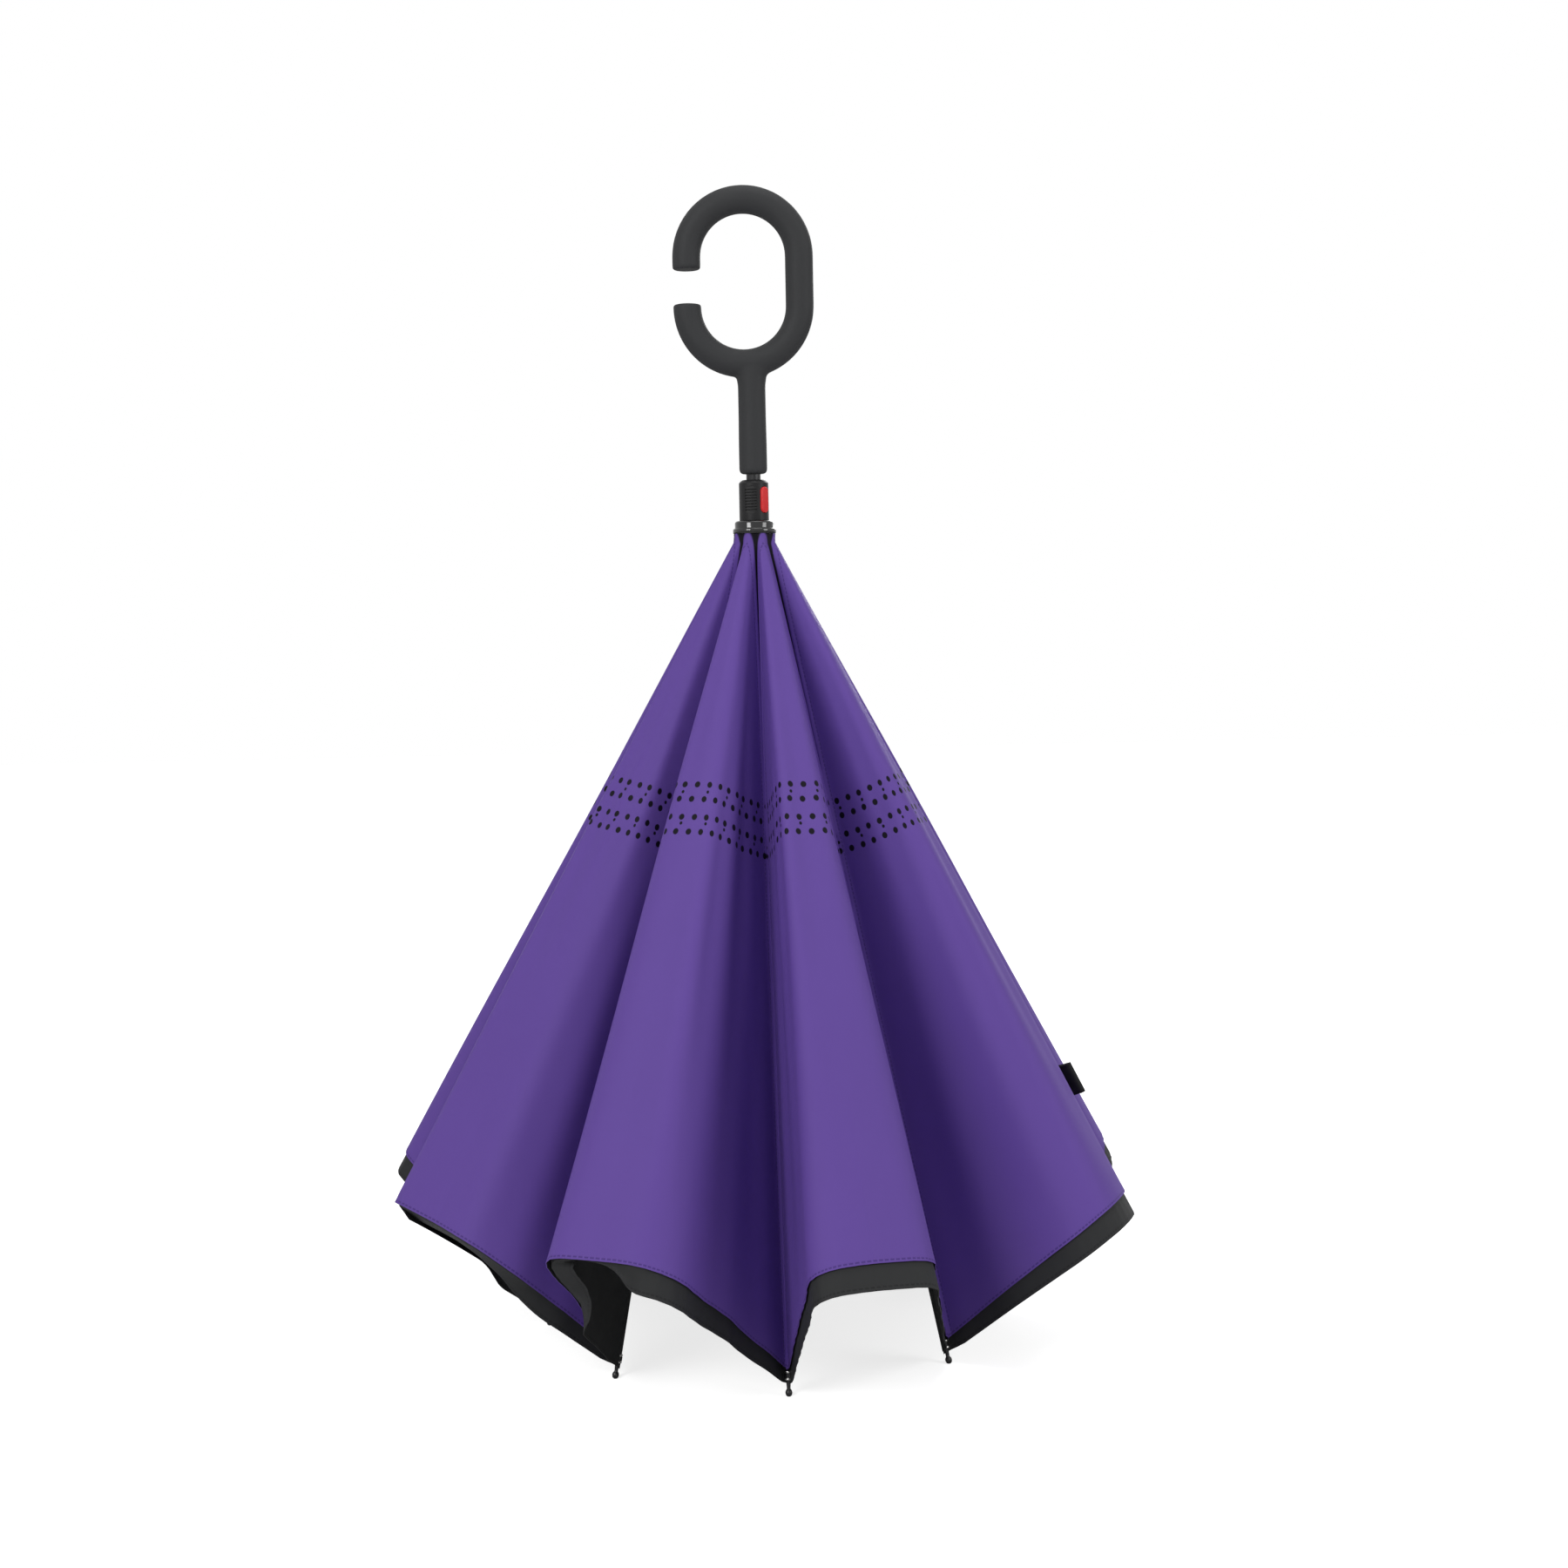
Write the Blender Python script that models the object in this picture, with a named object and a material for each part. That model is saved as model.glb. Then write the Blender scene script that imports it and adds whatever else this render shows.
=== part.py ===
"""Inverted umbrella, folded and standing on its rib tips with the handle up.

Metres, +Z up. The shaft lies on the Z axis and the rib tips stand on z = 0.
The handle's opening faces -X, and azimuths turn from -Y towards +X.
"""
import math

import bmesh
import bpy
from mathutils import Matrix, Vector

# Folding frame
RIB_COUNT = 8
RIB_TURN = math.radians(4)
CLOSED_ANGLE = math.radians(15)
OPEN_ANGLE = math.radians(111)
RIB_REACH = 0.575
RIB_RADIUS = 0.00175
ROD_RADIUS = 0.0014
STRETCHER_OPEN_ANGLE = math.radians(61.5)
JOINT_DEPTH = 0.0036
JOINT_LENGTH = 0.014
PIVOT_RADIUS = 0.010
BLADE_WIDTH = 0.0034
BLADE_THICKNESS = 0.0020
BLADE_LENGTH = 0.013
STRETCHER_WIDTH = 0.0032
STRETCHER_THICKNESS = 0.0020
RIVET_RADIUS = 0.0017
RIVET_HEIGHT = 0.0007
ROUND_CORNER_SHARE = 0.29
BAR_CORNER_SHARE = 0.12
CROWN_PIVOT_RADIUS = 0.0085
CROWN_PIVOT_Z = 0.055

# Rib tips
TIP_PIN_RADIUS = 0.0011
TIP_BALL_RADIUS = 0.0022
TIP_FLAT = 0.0004
EYELET_RADIUS = 0.0027
EYELET_LENGTH = 0.0040

# Clearances
GAP = 0.0003
SEAM_GAP = 0.0004
RUNNING_GAP = 0.0005
OVERRUN = 0.002

# Shaft, crown and end cap
SHAFT_RADIUS = 0.005
SHAFT_WALL = 0.0009
SHAFT_BOTTOM_Z = 0.030
SHAFT_IN_HANDLE = 0.048
HUB_RADIUS = 0.0118
HUB_BELOW = 0.006
HUB_ABOVE = 0.005
HUB_PIN_RADIUS = 0.0006
CAP_HEIGHT = 0.028
CAP_TIP_RADIUS = 0.0055
CAP_FLOOR = 0.011
LATCH_SLOT_HEIGHT = 0.007
LATCH_SLOT_WIDTH = 0.003

# Runner
RING_RADIUS = 0.0118
RING_BELOW = 0.0044
RING_ABOVE = 0.0050
WIRE_RADIUS = 0.0004
COLLAR_HEIGHT = 0.0090
COLLAR_TOP_RADIUS = 0.0134
COLLAR_RADIUS = 0.0150
SLEEVE_HEIGHT = 0.0280
SLEEVE_RADIUS = 0.0103
SLEEVE_CHAMFER = 0.0022
GRIP_AZIMUTH = math.radians(-12)
GRIP_COUNT = 8
GRIP_PITCH = 0.0024
GRIP_GROOVE = 0.0011
GRIP_DEPTH = 0.0006
GRIP_WIDTH = 0.0100
BUTTON_AZIMUTH = math.radians(45)
BUTTON_WIDTH = 0.0064
BUTTON_HEIGHT = 0.0180
BUTTON_PROUD = 0.0011
POCKET_FLOOR = 0.0062
BUTTON_TRAVEL = 0.0015
SPRING_PACKED = 0.0007
SPRING_WIDTH = 0.0036
SPRING_LENGTH = 0.0125
SPRING_THICKNESS = 0.0003

# Handle
STEM_LENGTH = 0.0667926
HANDLE_WIDTH = 0.097
HANDLE_HEIGHT = 0.131
HANDLE_SHIFT = 0.0045
GRIP_RADIUS = 0.0095
HANDLE_GAP = 0.0237
HANDLE_GAP_DROP = 0.0030
STEM_RADIUS = 0.0097
STEM_WAIST = 0.0094
STEM_FLARE = 0.0120
STEM_FLARE_HEIGHT = 0.0060
NECK_LENGTH = 0.0042
END_SHARES = ((0.45, 0.62), (0.30, 0.86), (0.0, 1.0))

# Canopies
CLOTH_THICKNESS = 0.0005
CLOTH_GAP = 0.0005
HEM_SETBACK = 0.0158
HEM_HOLLOW = 0.016
HEM_BAND = 0.016
HEM_BAND_TIP = 0.0095
NEAR_EDGE = 0.0005
FAR_EDGE = 0.0022
TAPE_WIDTH = 0.0055
NECK_RADIUS = 0.0137
CANOPY_START = 0.0066
OUTER_START = 0.240
STRAP_WIDTH = 0.022
STRAP_THICKNESS = 0.0012
STRAP_ABOVE_TIP = 0.150
STRAP_GORE = 3
STRAP_SHARES = (0.15, 0.45)

# Each fold's two ridges, as shares of the step between its ribs, and the second ridge's reach as a
# share of the first one's. The folds lean and crowd each other as cloth does when it is gathered.
FOLD_SHARES = (
    (0.49, 0.94, 0.84),
    (0.22, 0.62, 1.02),
    (0.03, 0.41, 0.95),
    (0.12, 0.60, 0.90),
    (0.10, 0.66, 0.94),
    (0.27, 0.70, 1.00),
    (0.24, 0.82, 1.00),
    (0.30, 0.80, 1.10),
)
CORNER_SHARE = 0.80

STEP = 2 * math.pi / RIB_COUNT
PIVOT_Z = RIB_REACH * math.cos(CLOSED_ANGLE)
SEAM_LIFT = RIB_RADIUS + SEAM_GAP
SIDE_STEP = RIB_RADIUS + GAP + STRETCHER_THICKNESS / 2
RING_TOP_Z = PIVOT_Z + RING_ABOVE
COLLAR_Z = RING_TOP_Z + GAP
SLEEVE_Z = COLLAR_Z + COLLAR_HEIGHT + GAP
BUTTON_INNER = POCKET_FLOOR + BUTTON_TRAVEL + SPRING_PACKED
STEM_Z = SLEEVE_Z + SLEEVE_HEIGHT + NECK_LENGTH
TOTAL_HEIGHT = STEM_Z + STEM_LENGTH + HANDLE_HEIGHT
STRAP_REACH = RIB_REACH - STRAP_ABOVE_TIP


def finish(name, colour, roughness, metallic=0.0):
    """A plain material."""
    material = bpy.data.materials.new(name)
    material.use_nodes = True
    shader = material.node_tree.nodes["Principled BSDF"]
    shader.inputs["Base Color"].default_value = (*colour, 1.0)
    shader.inputs["Roughness"].default_value = roughness
    shader.inputs["Metallic"].default_value = metallic
    return material


def make(name, bm, material, matrix=None, sharp=40):
    """Close a bmesh into a named object with round faces shaded smooth."""
    bmesh.ops.recalc_face_normals(bm, faces=bm.faces)
    mesh = bpy.data.meshes.new(name)
    bm.to_mesh(mesh)
    bm.free()
    mesh.materials.append(material)
    mesh.shade_smooth()
    mesh.set_sharp_from_angle(angle=math.radians(sharp))
    return place(name, mesh, matrix)


def place(name, mesh, matrix=None):
    obj = bpy.data.objects.new(name, mesh)
    bpy.context.collection.objects.link(obj)
    if matrix is not None:
        obj.matrix_world = matrix
    return obj


def numbered(name, first, index, matrix):
    """The first piece of a set, or a copy that shares its mesh, put in its place."""
    obj = first if index == 0 else place(f"{name}_{index + 1}", first.data)
    obj.matrix_world = matrix
    return obj


def combine(obj, tool, operation):
    """Cut or join with another object, which then stays out of the render."""
    step = obj.modifiers.new(tool.name, "BOOLEAN")
    step.operation = operation
    step.solver = "EXACT"
    step.object = tool
    tool.hide_render = True
    tool.display_type = "WIRE"


def azimuth_direction(azimuth):
    return Vector((math.sin(azimuth), -math.cos(azimuth), 0.0))


def rib_azimuth(index):
    return RIB_TURN + STEP * (index - 2)


def turn(azimuth):
    return Matrix.Rotation(azimuth, 4, "Z")


def frame(origin, along, normal):
    """x runs along the piece, z along its normal."""
    x = along.normalized()
    z = normal.normalized()
    y = z.cross(x)
    columns = Matrix((x, y, z)).transposed().to_4x4()
    return Matrix.Translation(origin) @ columns


def loft(bm, rings):
    """Skin a row of rings with equal counts and close both ends."""
    rows = [[bm.verts.new(point) for point in ring] for ring in rings]
    count = len(rows[0])
    for low, high in zip(rows, rows[1:]):
        for i in range(count):
            j = (i + 1) % count
            bm.faces.new((low[i], low[j], high[j], high[i]))
    bm.faces.new(rows[0])
    bm.faces.new(rows[-1])


def bar_section(x, y_low, y_high, z_low, z_high, corner_share=ROUND_CORNER_SHARE):
    """An eight-sided bar section with its corners cut off."""
    cut_y = (y_high - y_low) * corner_share
    cut_z = (z_high - z_low) * corner_share
    return [
        Vector((x, y_low, z_low + cut_z)),
        Vector((x, y_low, z_high - cut_z)),
        Vector((x, y_low + cut_y, z_high)),
        Vector((x, y_high - cut_y, z_high)),
        Vector((x, y_high, z_high - cut_z)),
        Vector((x, y_high, z_low + cut_z)),
        Vector((x, y_high - cut_y, z_low)),
        Vector((x, y_low + cut_y, z_low)),
    ]


def round_section(x, radius, drop=0.0):
    return bar_section(x, -radius, radius, -radius - drop, radius)


def turned(name, profile, material, segments=24, sharp=35):
    """Spin a closed outline of (radius, z) points about the Z axis."""
    bm = bmesh.new()
    verts = [bm.verts.new((radius, 0.0, z)) for radius, z in profile]
    edges = [bm.edges.new((verts[i - 1], verts[i])) for i in range(len(verts))]
    bmesh.ops.spin(bm, geom=verts + edges, axis=(0, 0, 1), cent=(0, 0, 0), steps=segments,
                   angle=2 * math.pi)
    bmesh.ops.remove_doubles(bm, verts=bm.verts, dist=SHAFT_RADIUS / 5000)
    return make(name, bm, material, sharp=sharp)


def block(name, size, matrix):
    """A box cutter, size along its own axes, centred on the matrix."""
    bm = bmesh.new()
    bmesh.ops.create_cube(bm, size=1.0)
    bmesh.ops.scale(bm, vec=size, verts=bm.verts)
    bmesh.ops.recalc_face_normals(bm, faces=bm.faces)
    mesh = bpy.data.meshes.new(name)
    bm.to_mesh(mesh)
    bm.free()
    return place(name, mesh, matrix)


def peg(name, radius, depth, matrix=None, sides=12):
    """A cylinder along its own y axis."""
    bm = bmesh.new()
    bmesh.ops.create_cone(bm, cap_ends=True, segments=sides, radius1=radius, radius2=radius,
                          depth=depth, matrix=Matrix.Rotation(math.pi / 2, 4, "X"))
    mesh = bpy.data.meshes.new(name)
    bm.to_mesh(mesh)
    bm.free()
    return place(name, mesh, matrix)


# The frame's geometry

def joint_reach():
    """How far down the rib its stretcher joins it, so that one stretcher fits it closed and open."""
    inset = PIVOT_RADIUS - CROWN_PIVOT_RADIUS
    height = PIVOT_Z - CROWN_PIVOT_Z
    slope = 1 / math.sin(STRETCHER_OPEN_ANGLE) ** 2
    square = slope * math.sin(OPEN_ANGLE) ** 2 - 1
    single = 2 * (inset * (slope * math.sin(OPEN_ANGLE) - math.sin(CLOSED_ANGLE))
                  + height * math.cos(CLOSED_ANGLE))
    rest = (slope - 1) * inset ** 2 - height ** 2
    return (math.sqrt(single ** 2 - 4 * square * rest) - single) / (2 * square)


JOINT_REACH = joint_reach()


def stretcher_line():
    """Length and closed angle, from +Z, of the stretchers, which meet the ribs at their joints."""
    radius = PIVOT_RADIUS + JOINT_REACH * math.sin(CLOSED_ANGLE)
    height = PIVOT_Z - JOINT_REACH * math.cos(CLOSED_ANGLE)
    out, up = radius - CROWN_PIVOT_RADIUS, height - CROWN_PIVOT_Z
    return math.hypot(out, up), math.atan2(out, up)


def runner_travel():
    """How far the runner slides down to turn the ribs from closed to open."""
    length, _ = stretcher_line()
    out = PIVOT_RADIUS + JOINT_REACH * math.sin(OPEN_ANGLE) - CROWN_PIVOT_RADIUS
    up = math.sqrt(length ** 2 - out ** 2)
    open_pivot_z = CROWN_PIVOT_Z + up + JOINT_REACH * math.cos(OPEN_ANGLE)
    return PIVOT_Z - open_pivot_z


def rib_vectors(index, angle):
    """Along a rib, and square to it on its cloth side."""
    out = azimuth_direction(rib_azimuth(index))
    along = out * math.sin(angle) - Vector((0, 0, 1)) * math.cos(angle)
    normal = out * math.cos(angle) + Vector((0, 0, 1)) * math.sin(angle)
    return along, normal


def rib_pivot(index):
    return azimuth_direction(rib_azimuth(index)) * PIVOT_RADIUS + Vector((0, 0, PIVOT_Z))


def rib_frame(index):
    along, normal = rib_vectors(index, CLOSED_ANGLE)
    return frame(rib_pivot(index), along, normal)


def seam_point(index, distance):
    """A point on the line where two gores meet over a closed rib."""
    along, normal = rib_vectors(index, CLOSED_ANGLE)
    return rib_pivot(index) + normal * SEAM_LIFT + along * distance


def seam_apex_distance():
    """Where on the rib the seams meet when the umbrella is open."""
    return -(PIVOT_RADIUS + SEAM_LIFT * math.cos(OPEN_ANGLE)) / math.sin(OPEN_ANGLE)


def gore_angle():
    """The angle between neighbouring seams when the gore is stretched flat."""
    flat, _ = rib_vectors(0, OPEN_ANGLE)
    other, _ = rib_vectors(1, OPEN_ANGLE)
    return flat.angle(other)


def fold_ridge(index, share, polar):
    azimuth = rib_azimuth(index) + STEP * share
    return azimuth_direction(azimuth) * math.sin(polar) - Vector((0, 0, 1)) * math.cos(polar)


def gore(index):
    """One gore as three flat panels between its seams: near, middle and far."""
    apex = seam_point(index, seam_apex_distance())
    next_apex = seam_point(index + 1, seam_apex_distance())
    near = rib_vectors(index, CLOSED_ANGLE)[0]
    far = (seam_point(index + 1, RIB_REACH) - apex).normalized()
    first_share, second_share, reach_share = FOLD_SHARES[index % RIB_COUNT]
    whole = gore_angle()
    low, high = CLOSED_ANGLE, math.pi / 2
    while high - low > math.pi / 1e9:
        polar = (low + high) / 2
        first = fold_ridge(index, first_share, polar)
        second = fold_ridge(index, second_share, CLOSED_ANGLE + (polar - CLOSED_ANGLE) * reach_share)
        girth = near.angle(first) + first.angle(second) + second.angle(far)
        if girth < whole:
            low = polar
        else:
            high = polar
    return {
        "apex": apex, "step": next_apex - apex, "near": near, "first": first, "second": second,
        "far": far, "arcs": (near.angle(first), first.angle(second), second.angle(far)),
        "length": RIB_REACH - seam_apex_distance(),
    }


def corner_cuts(shape):
    near_arc, middle_arc, far_arc = shape["arcs"]
    first = min(near_arc, middle_arc) / 2 * CORNER_SHARE
    second = min(middle_arc, far_arc) / 2 * CORNER_SHARE
    return first, second


def corner(start, ridge, end, share):
    bend = start * (1 - share) ** 2 + ridge * (2 * share * (1 - share)) + end * share ** 2
    return bend.normalized()


def fold_direction(shape, arc):
    """The direction from the apex to the folded cloth at an arc across the gore."""
    near_arc, middle_arc, far_arc = shape["arcs"]
    first_cut, second_cut = corner_cuts(shape)
    near, first, second, far = shape["near"], shape["first"], shape["second"], shape["far"]
    if arc < near_arc - first_cut:
        return near.slerp(first, arc / near_arc)
    if arc < near_arc + first_cut:
        share = (arc - near_arc + first_cut) / (2 * first_cut)
        return corner(near.slerp(first, 1 - first_cut / near_arc), first,
                      first.slerp(second, first_cut / middle_arc), share)
    if arc < near_arc + middle_arc - second_cut:
        return first.slerp(second, (arc - near_arc) / middle_arc)
    if arc < near_arc + middle_arc + second_cut:
        share = (arc - near_arc - middle_arc + second_cut) / (2 * second_cut)
        return corner(first.slerp(second, 1 - second_cut / middle_arc), second,
                      second.slerp(far, second_cut / far_arc), share)
    return second.slerp(far, (arc - near_arc - middle_arc) / far_arc)


def hem_distance(shape, arc):
    """How far from the apex the inner canopy's hollow hem runs."""
    whole = sum(shape["arcs"])
    corner_distance = shape["length"] - HEM_SETBACK
    off_centre = arc - whole / 2
    straight = corner_distance * math.cos(whole / 2) / math.cos(off_centre)
    return straight - HEM_HOLLOW * (1 - (2 * off_centre / whole) ** 2)


def band_distance(shape, arc):
    """How far past that hem the outer canopy reaches."""
    whole = sum(shape["arcs"])
    off_centre_share = (2 * arc / whole - 1) ** 2
    return HEM_BAND + (HEM_BAND_TIP - HEM_BAND) * off_centre_share


def cloth_point(shape, distance, arc):
    """A point of the folded cloth, held out at the neck by the runner's ring."""
    whole = sum(shape["arcs"])
    slide = (1 - distance / shape["length"]) * arc / whole
    point = shape["apex"] + fold_direction(shape, arc) * distance + shape["step"] * slide
    radius = math.hypot(point.x, point.y)
    if radius < NECK_RADIUS:
        point.x *= NECK_RADIUS / radius
        point.y *= NECK_RADIUS / radius
    return point


def cloth_layer(shape, distance, arc, lift):
    """A point at a height over the cloth's middle surface, outwards."""
    nudge = sum(shape["arcs"]) / 400
    along = shape["length"] / 200
    centre = cloth_point(shape, distance, arc)
    across = cloth_point(shape, distance, arc + nudge) - cloth_point(shape, distance, arc - nudge)
    down = cloth_point(shape, distance + along, arc) - centre
    return centre + down.cross(across).normalized() * lift


def column_shares(shape, bend_steps=4):
    """Where across the gore the mesh has its columns: both edges, the ridges and the flat runs."""
    near_arc, middle_arc, far_arc = shape["arcs"]
    first_cut, second_cut = corner_cuts(shape)
    whole = sum(shape["arcs"])
    bends = [near_arc + first_cut * (2 * i / bend_steps - 1) for i in range(bend_steps + 1)]
    turn_back = near_arc + middle_arc
    bends += [turn_back + second_cut * (2 * i / bend_steps - 1) for i in range(bend_steps + 1)]
    flats = [0.0, (near_arc - first_cut) / 2, near_arc + middle_arc / 2,
             (turn_back + second_cut + whole) / 2, whole]
    return [arc / whole for arc in sorted(bends + flats)]


def sheet(name, layers, material):
    """A thin closed solid between two grids of points."""
    bm = bmesh.new()
    top, under = [[[bm.verts.new(point) for point in row] for row in layer] for layer in layers]
    rows, columns = len(top), len(top[0])

    def quad(a, b, c, d):
        bm.faces.new((a, b, c))
        bm.faces.new((a, c, d))

    for i in range(rows - 1):
        for j in range(columns - 1):
            quad(top[i][j], top[i + 1][j], top[i + 1][j + 1], top[i][j + 1])
            quad(under[i][j], under[i + 1][j], under[i + 1][j + 1], under[i][j + 1])
        quad(top[i][0], top[i + 1][0], under[i + 1][0], under[i][0])
        quad(top[i][-1], top[i + 1][-1], under[i + 1][-1], under[i][-1])
    for j in range(columns - 1):
        quad(top[0][j], top[0][j + 1], under[0][j + 1], under[0][j])
        quad(top[-1][j], top[-1][j + 1], under[-1][j + 1], under[-1][j])
    return make(name, bm, material, sharp=60)


def cloth_sheet(name, shape, rows, shares, edges, lift, thickness, material):
    """Cloth between two edge distances from the seams. rows gives each row's distance at an arc."""
    whole = sum(shape["arcs"])
    layers = []
    for side in (0.5, -0.5):
        layer = []
        for row in rows:
            points = []
            for share in shares:
                distance = row(share * whole)
                start = edges[0] / distance
                end = whole - edges[1] / distance
                if distance > OUTER_START / 2:
                    arc = min(max(share * whole, start), end)
                else:
                    arc = start + (end - start) * share
                points.append(cloth_layer(shape, distance, arc, lift + thickness * side))
            layer.append(points)
        layers.append(layer)
    return sheet(name, layers, material)


# Canopies

def row_rule(shape, start, share, band_share):
    """Distance from the apex along one row, from a level start to the shaped hem."""
    def rule(arc):
        end = hem_distance(shape, arc) + band_distance(shape, arc) * band_share
        return start + (end - start) * share
    return rule


def build_gore(index, inner_cloth, outer_cloth, tape):
    shape = gore(index)
    number = index + 1
    shares = column_shares(shape)
    inner_rows = [row_rule(shape, CANOPY_START, s, 0) for s in (0, 0.03, 0.09, 0.35, 0.7, 1)]
    cloth_sheet(f"inner_gore_{number}", shape, inner_rows, shares, (NEAR_EDGE, FAR_EDGE), 0.0,
                CLOTH_THICKNESS, inner_cloth)
    outer_rows = [row_rule(shape, OUTER_START, s, 1) for s in (0, 0.33, 0.67, 1)]
    outer_edges = (FAR_EDGE, FAR_EDGE + TAPE_WIDTH + GAP)
    under = -(CLOTH_THICKNESS + CLOTH_GAP)
    cloth_sheet(f"outer_gore_{number}", shape, outer_rows, shares, outer_edges, under,
                CLOTH_THICKNESS, outer_cloth)
    whole = sum(shape["arcs"])
    tape_rows = [row_rule(shape, OUTER_START / 4, s, 0) for s in (0, 0.2, 0.45, 0.7, 0.98)]
    layers = []
    for side in (0.5, -0.5):
        layer = []
        for row in tape_rows:
            distance = row(whole)
            lift = under + CLOTH_THICKNESS * side
            layer.append([
                cloth_layer(shape, distance, whole - (FAR_EDGE + TAPE_WIDTH) / distance, lift),
                cloth_layer(shape, distance, whole - FAR_EDGE / distance, lift),
            ])
        layers.append(layer)
    sheet(f"seam_tape_{number}", layers, tape)


def build_strap(webbing):
    """The closing strap, laid over the far panel of one gore from just past its second ridge."""
    shape = gore(STRAP_GORE)
    near_arc, middle_arc, far_arc = shape["arcs"]
    _, second_cut = corner_cuts(shape)
    lift = CLOTH_THICKNESS / 2 + GAP + STRAP_THICKNESS / 2
    turn_back = near_arc + middle_arc
    start = turn_back + second_cut * STRAP_SHARES[0]
    end = turn_back + second_cut + (far_arc - second_cut) * STRAP_SHARES[1]
    steps = 9
    arcs = [start + (end - start) * i / steps for i in range(steps + 1)]
    layers = []
    for side in (0.5, -0.5):
        layer = []
        for reach in (STRAP_REACH, STRAP_REACH + STRAP_WIDTH):
            layer.append([cloth_layer(shape, reach, arc, lift + STRAP_THICKNESS * side)
                          for arc in arcs])
        layers.append(layer)
    sheet("closing_strap", layers, webbing)


# Ribs and stretchers

def rounded_end(half_width, y_low, y_high, direction):
    """Sections that round off a flat bar about its pivot, from the end inwards."""
    sections = []
    for degrees in (68, 45, 22):
        angle = math.radians(degrees)
        width = half_width * math.cos(angle)
        x = direction * half_width * math.sin(angle)
        sections.append(bar_section(x, y_low, y_high, -width, width, BAR_CORNER_SHARE))
    return sections


def build_ribs(steel, rod):
    half = BLADE_WIDTH / 2
    thin = BLADE_THICKNESS / 2
    eyelet = RIB_REACH - HEM_SETBACK + 2 * GAP
    ball_centre = RIB_REACH - (TIP_BALL_RADIUS - TIP_FLAT) / math.cos(CLOSED_ANGLE)
    rings = rounded_end(half, -thin, thin, -1)
    rings.append(bar_section(0, -thin, thin, -half, half, BAR_CORNER_SHARE))
    rings.append(bar_section(BLADE_LENGTH, -thin, thin, -half, half, BAR_CORNER_SHARE))
    rings.append(round_section(BLADE_LENGTH + BLADE_WIDTH, RIB_RADIUS))
    rings.append(round_section(JOINT_REACH - JOINT_LENGTH, RIB_RADIUS))
    rings.append(round_section(JOINT_REACH - JOINT_LENGTH / 2, RIB_RADIUS, JOINT_DEPTH - RIB_RADIUS))
    rings.append(round_section(JOINT_REACH + JOINT_LENGTH / 2, RIB_RADIUS, JOINT_DEPTH - RIB_RADIUS))
    rings.append(round_section(JOINT_REACH + JOINT_LENGTH, RIB_RADIUS))
    rings.append(round_section(JOINT_REACH + 2 * JOINT_LENGTH, ROD_RADIUS))
    rings.append(round_section(eyelet, ROD_RADIUS))
    rings.append(round_section(eyelet + 0.2 * EYELET_LENGTH, EYELET_RADIUS))
    rings.append(round_section(eyelet + 0.8 * EYELET_LENGTH, EYELET_RADIUS))
    rings.append(round_section(eyelet + EYELET_LENGTH, TIP_PIN_RADIUS * 1.5))
    ball_start = ball_centre - TIP_BALL_RADIUS
    rings.append(round_section(ball_start, TIP_PIN_RADIUS))
    for degrees in (-35, 0, 35, 65):
        angle = math.radians(degrees)
        x = ball_centre + TIP_BALL_RADIUS * math.sin(angle)
        rings.append(round_section(x, TIP_BALL_RADIUS * math.cos(angle)))
    bm = bmesh.new()
    loft(bm, rings)
    floor = rib_frame(0).inverted()
    bmesh.ops.recalc_face_normals(bm, faces=bm.faces)
    cut = bmesh.ops.bisect_plane(bm, geom=bm.verts[:] + bm.edges[:] + bm.faces[:],
                                 plane_co=floor @ Vector((0, 0, 0)),
                                 plane_no=floor.to_3x3() @ Vector((0, 0, -1)), clear_outer=True)
    edges = [item for item in cut["geom_cut"] if isinstance(item, bmesh.types.BMEdge)]
    bmesh.ops.contextual_create(bm, geom=edges)
    rib = make("rib_1", bm, steel)
    rib.data.materials.append(rod)
    for face in rib.data.polygons:
        if face.center.x > JOINT_REACH + JOINT_LENGTH:
            face.material_index = 1
    hole = peg("rib_hole_1", WIRE_RADIUS + GAP, BLADE_THICKNESS + OVERRUN, sides=10)
    for index in range(RIB_COUNT):
        matrix = rib_frame(index)
        piece = numbered("rib", rib, index, matrix)
        combine(piece, numbered("rib_hole", hole, index, matrix), "DIFFERENCE")


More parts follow.
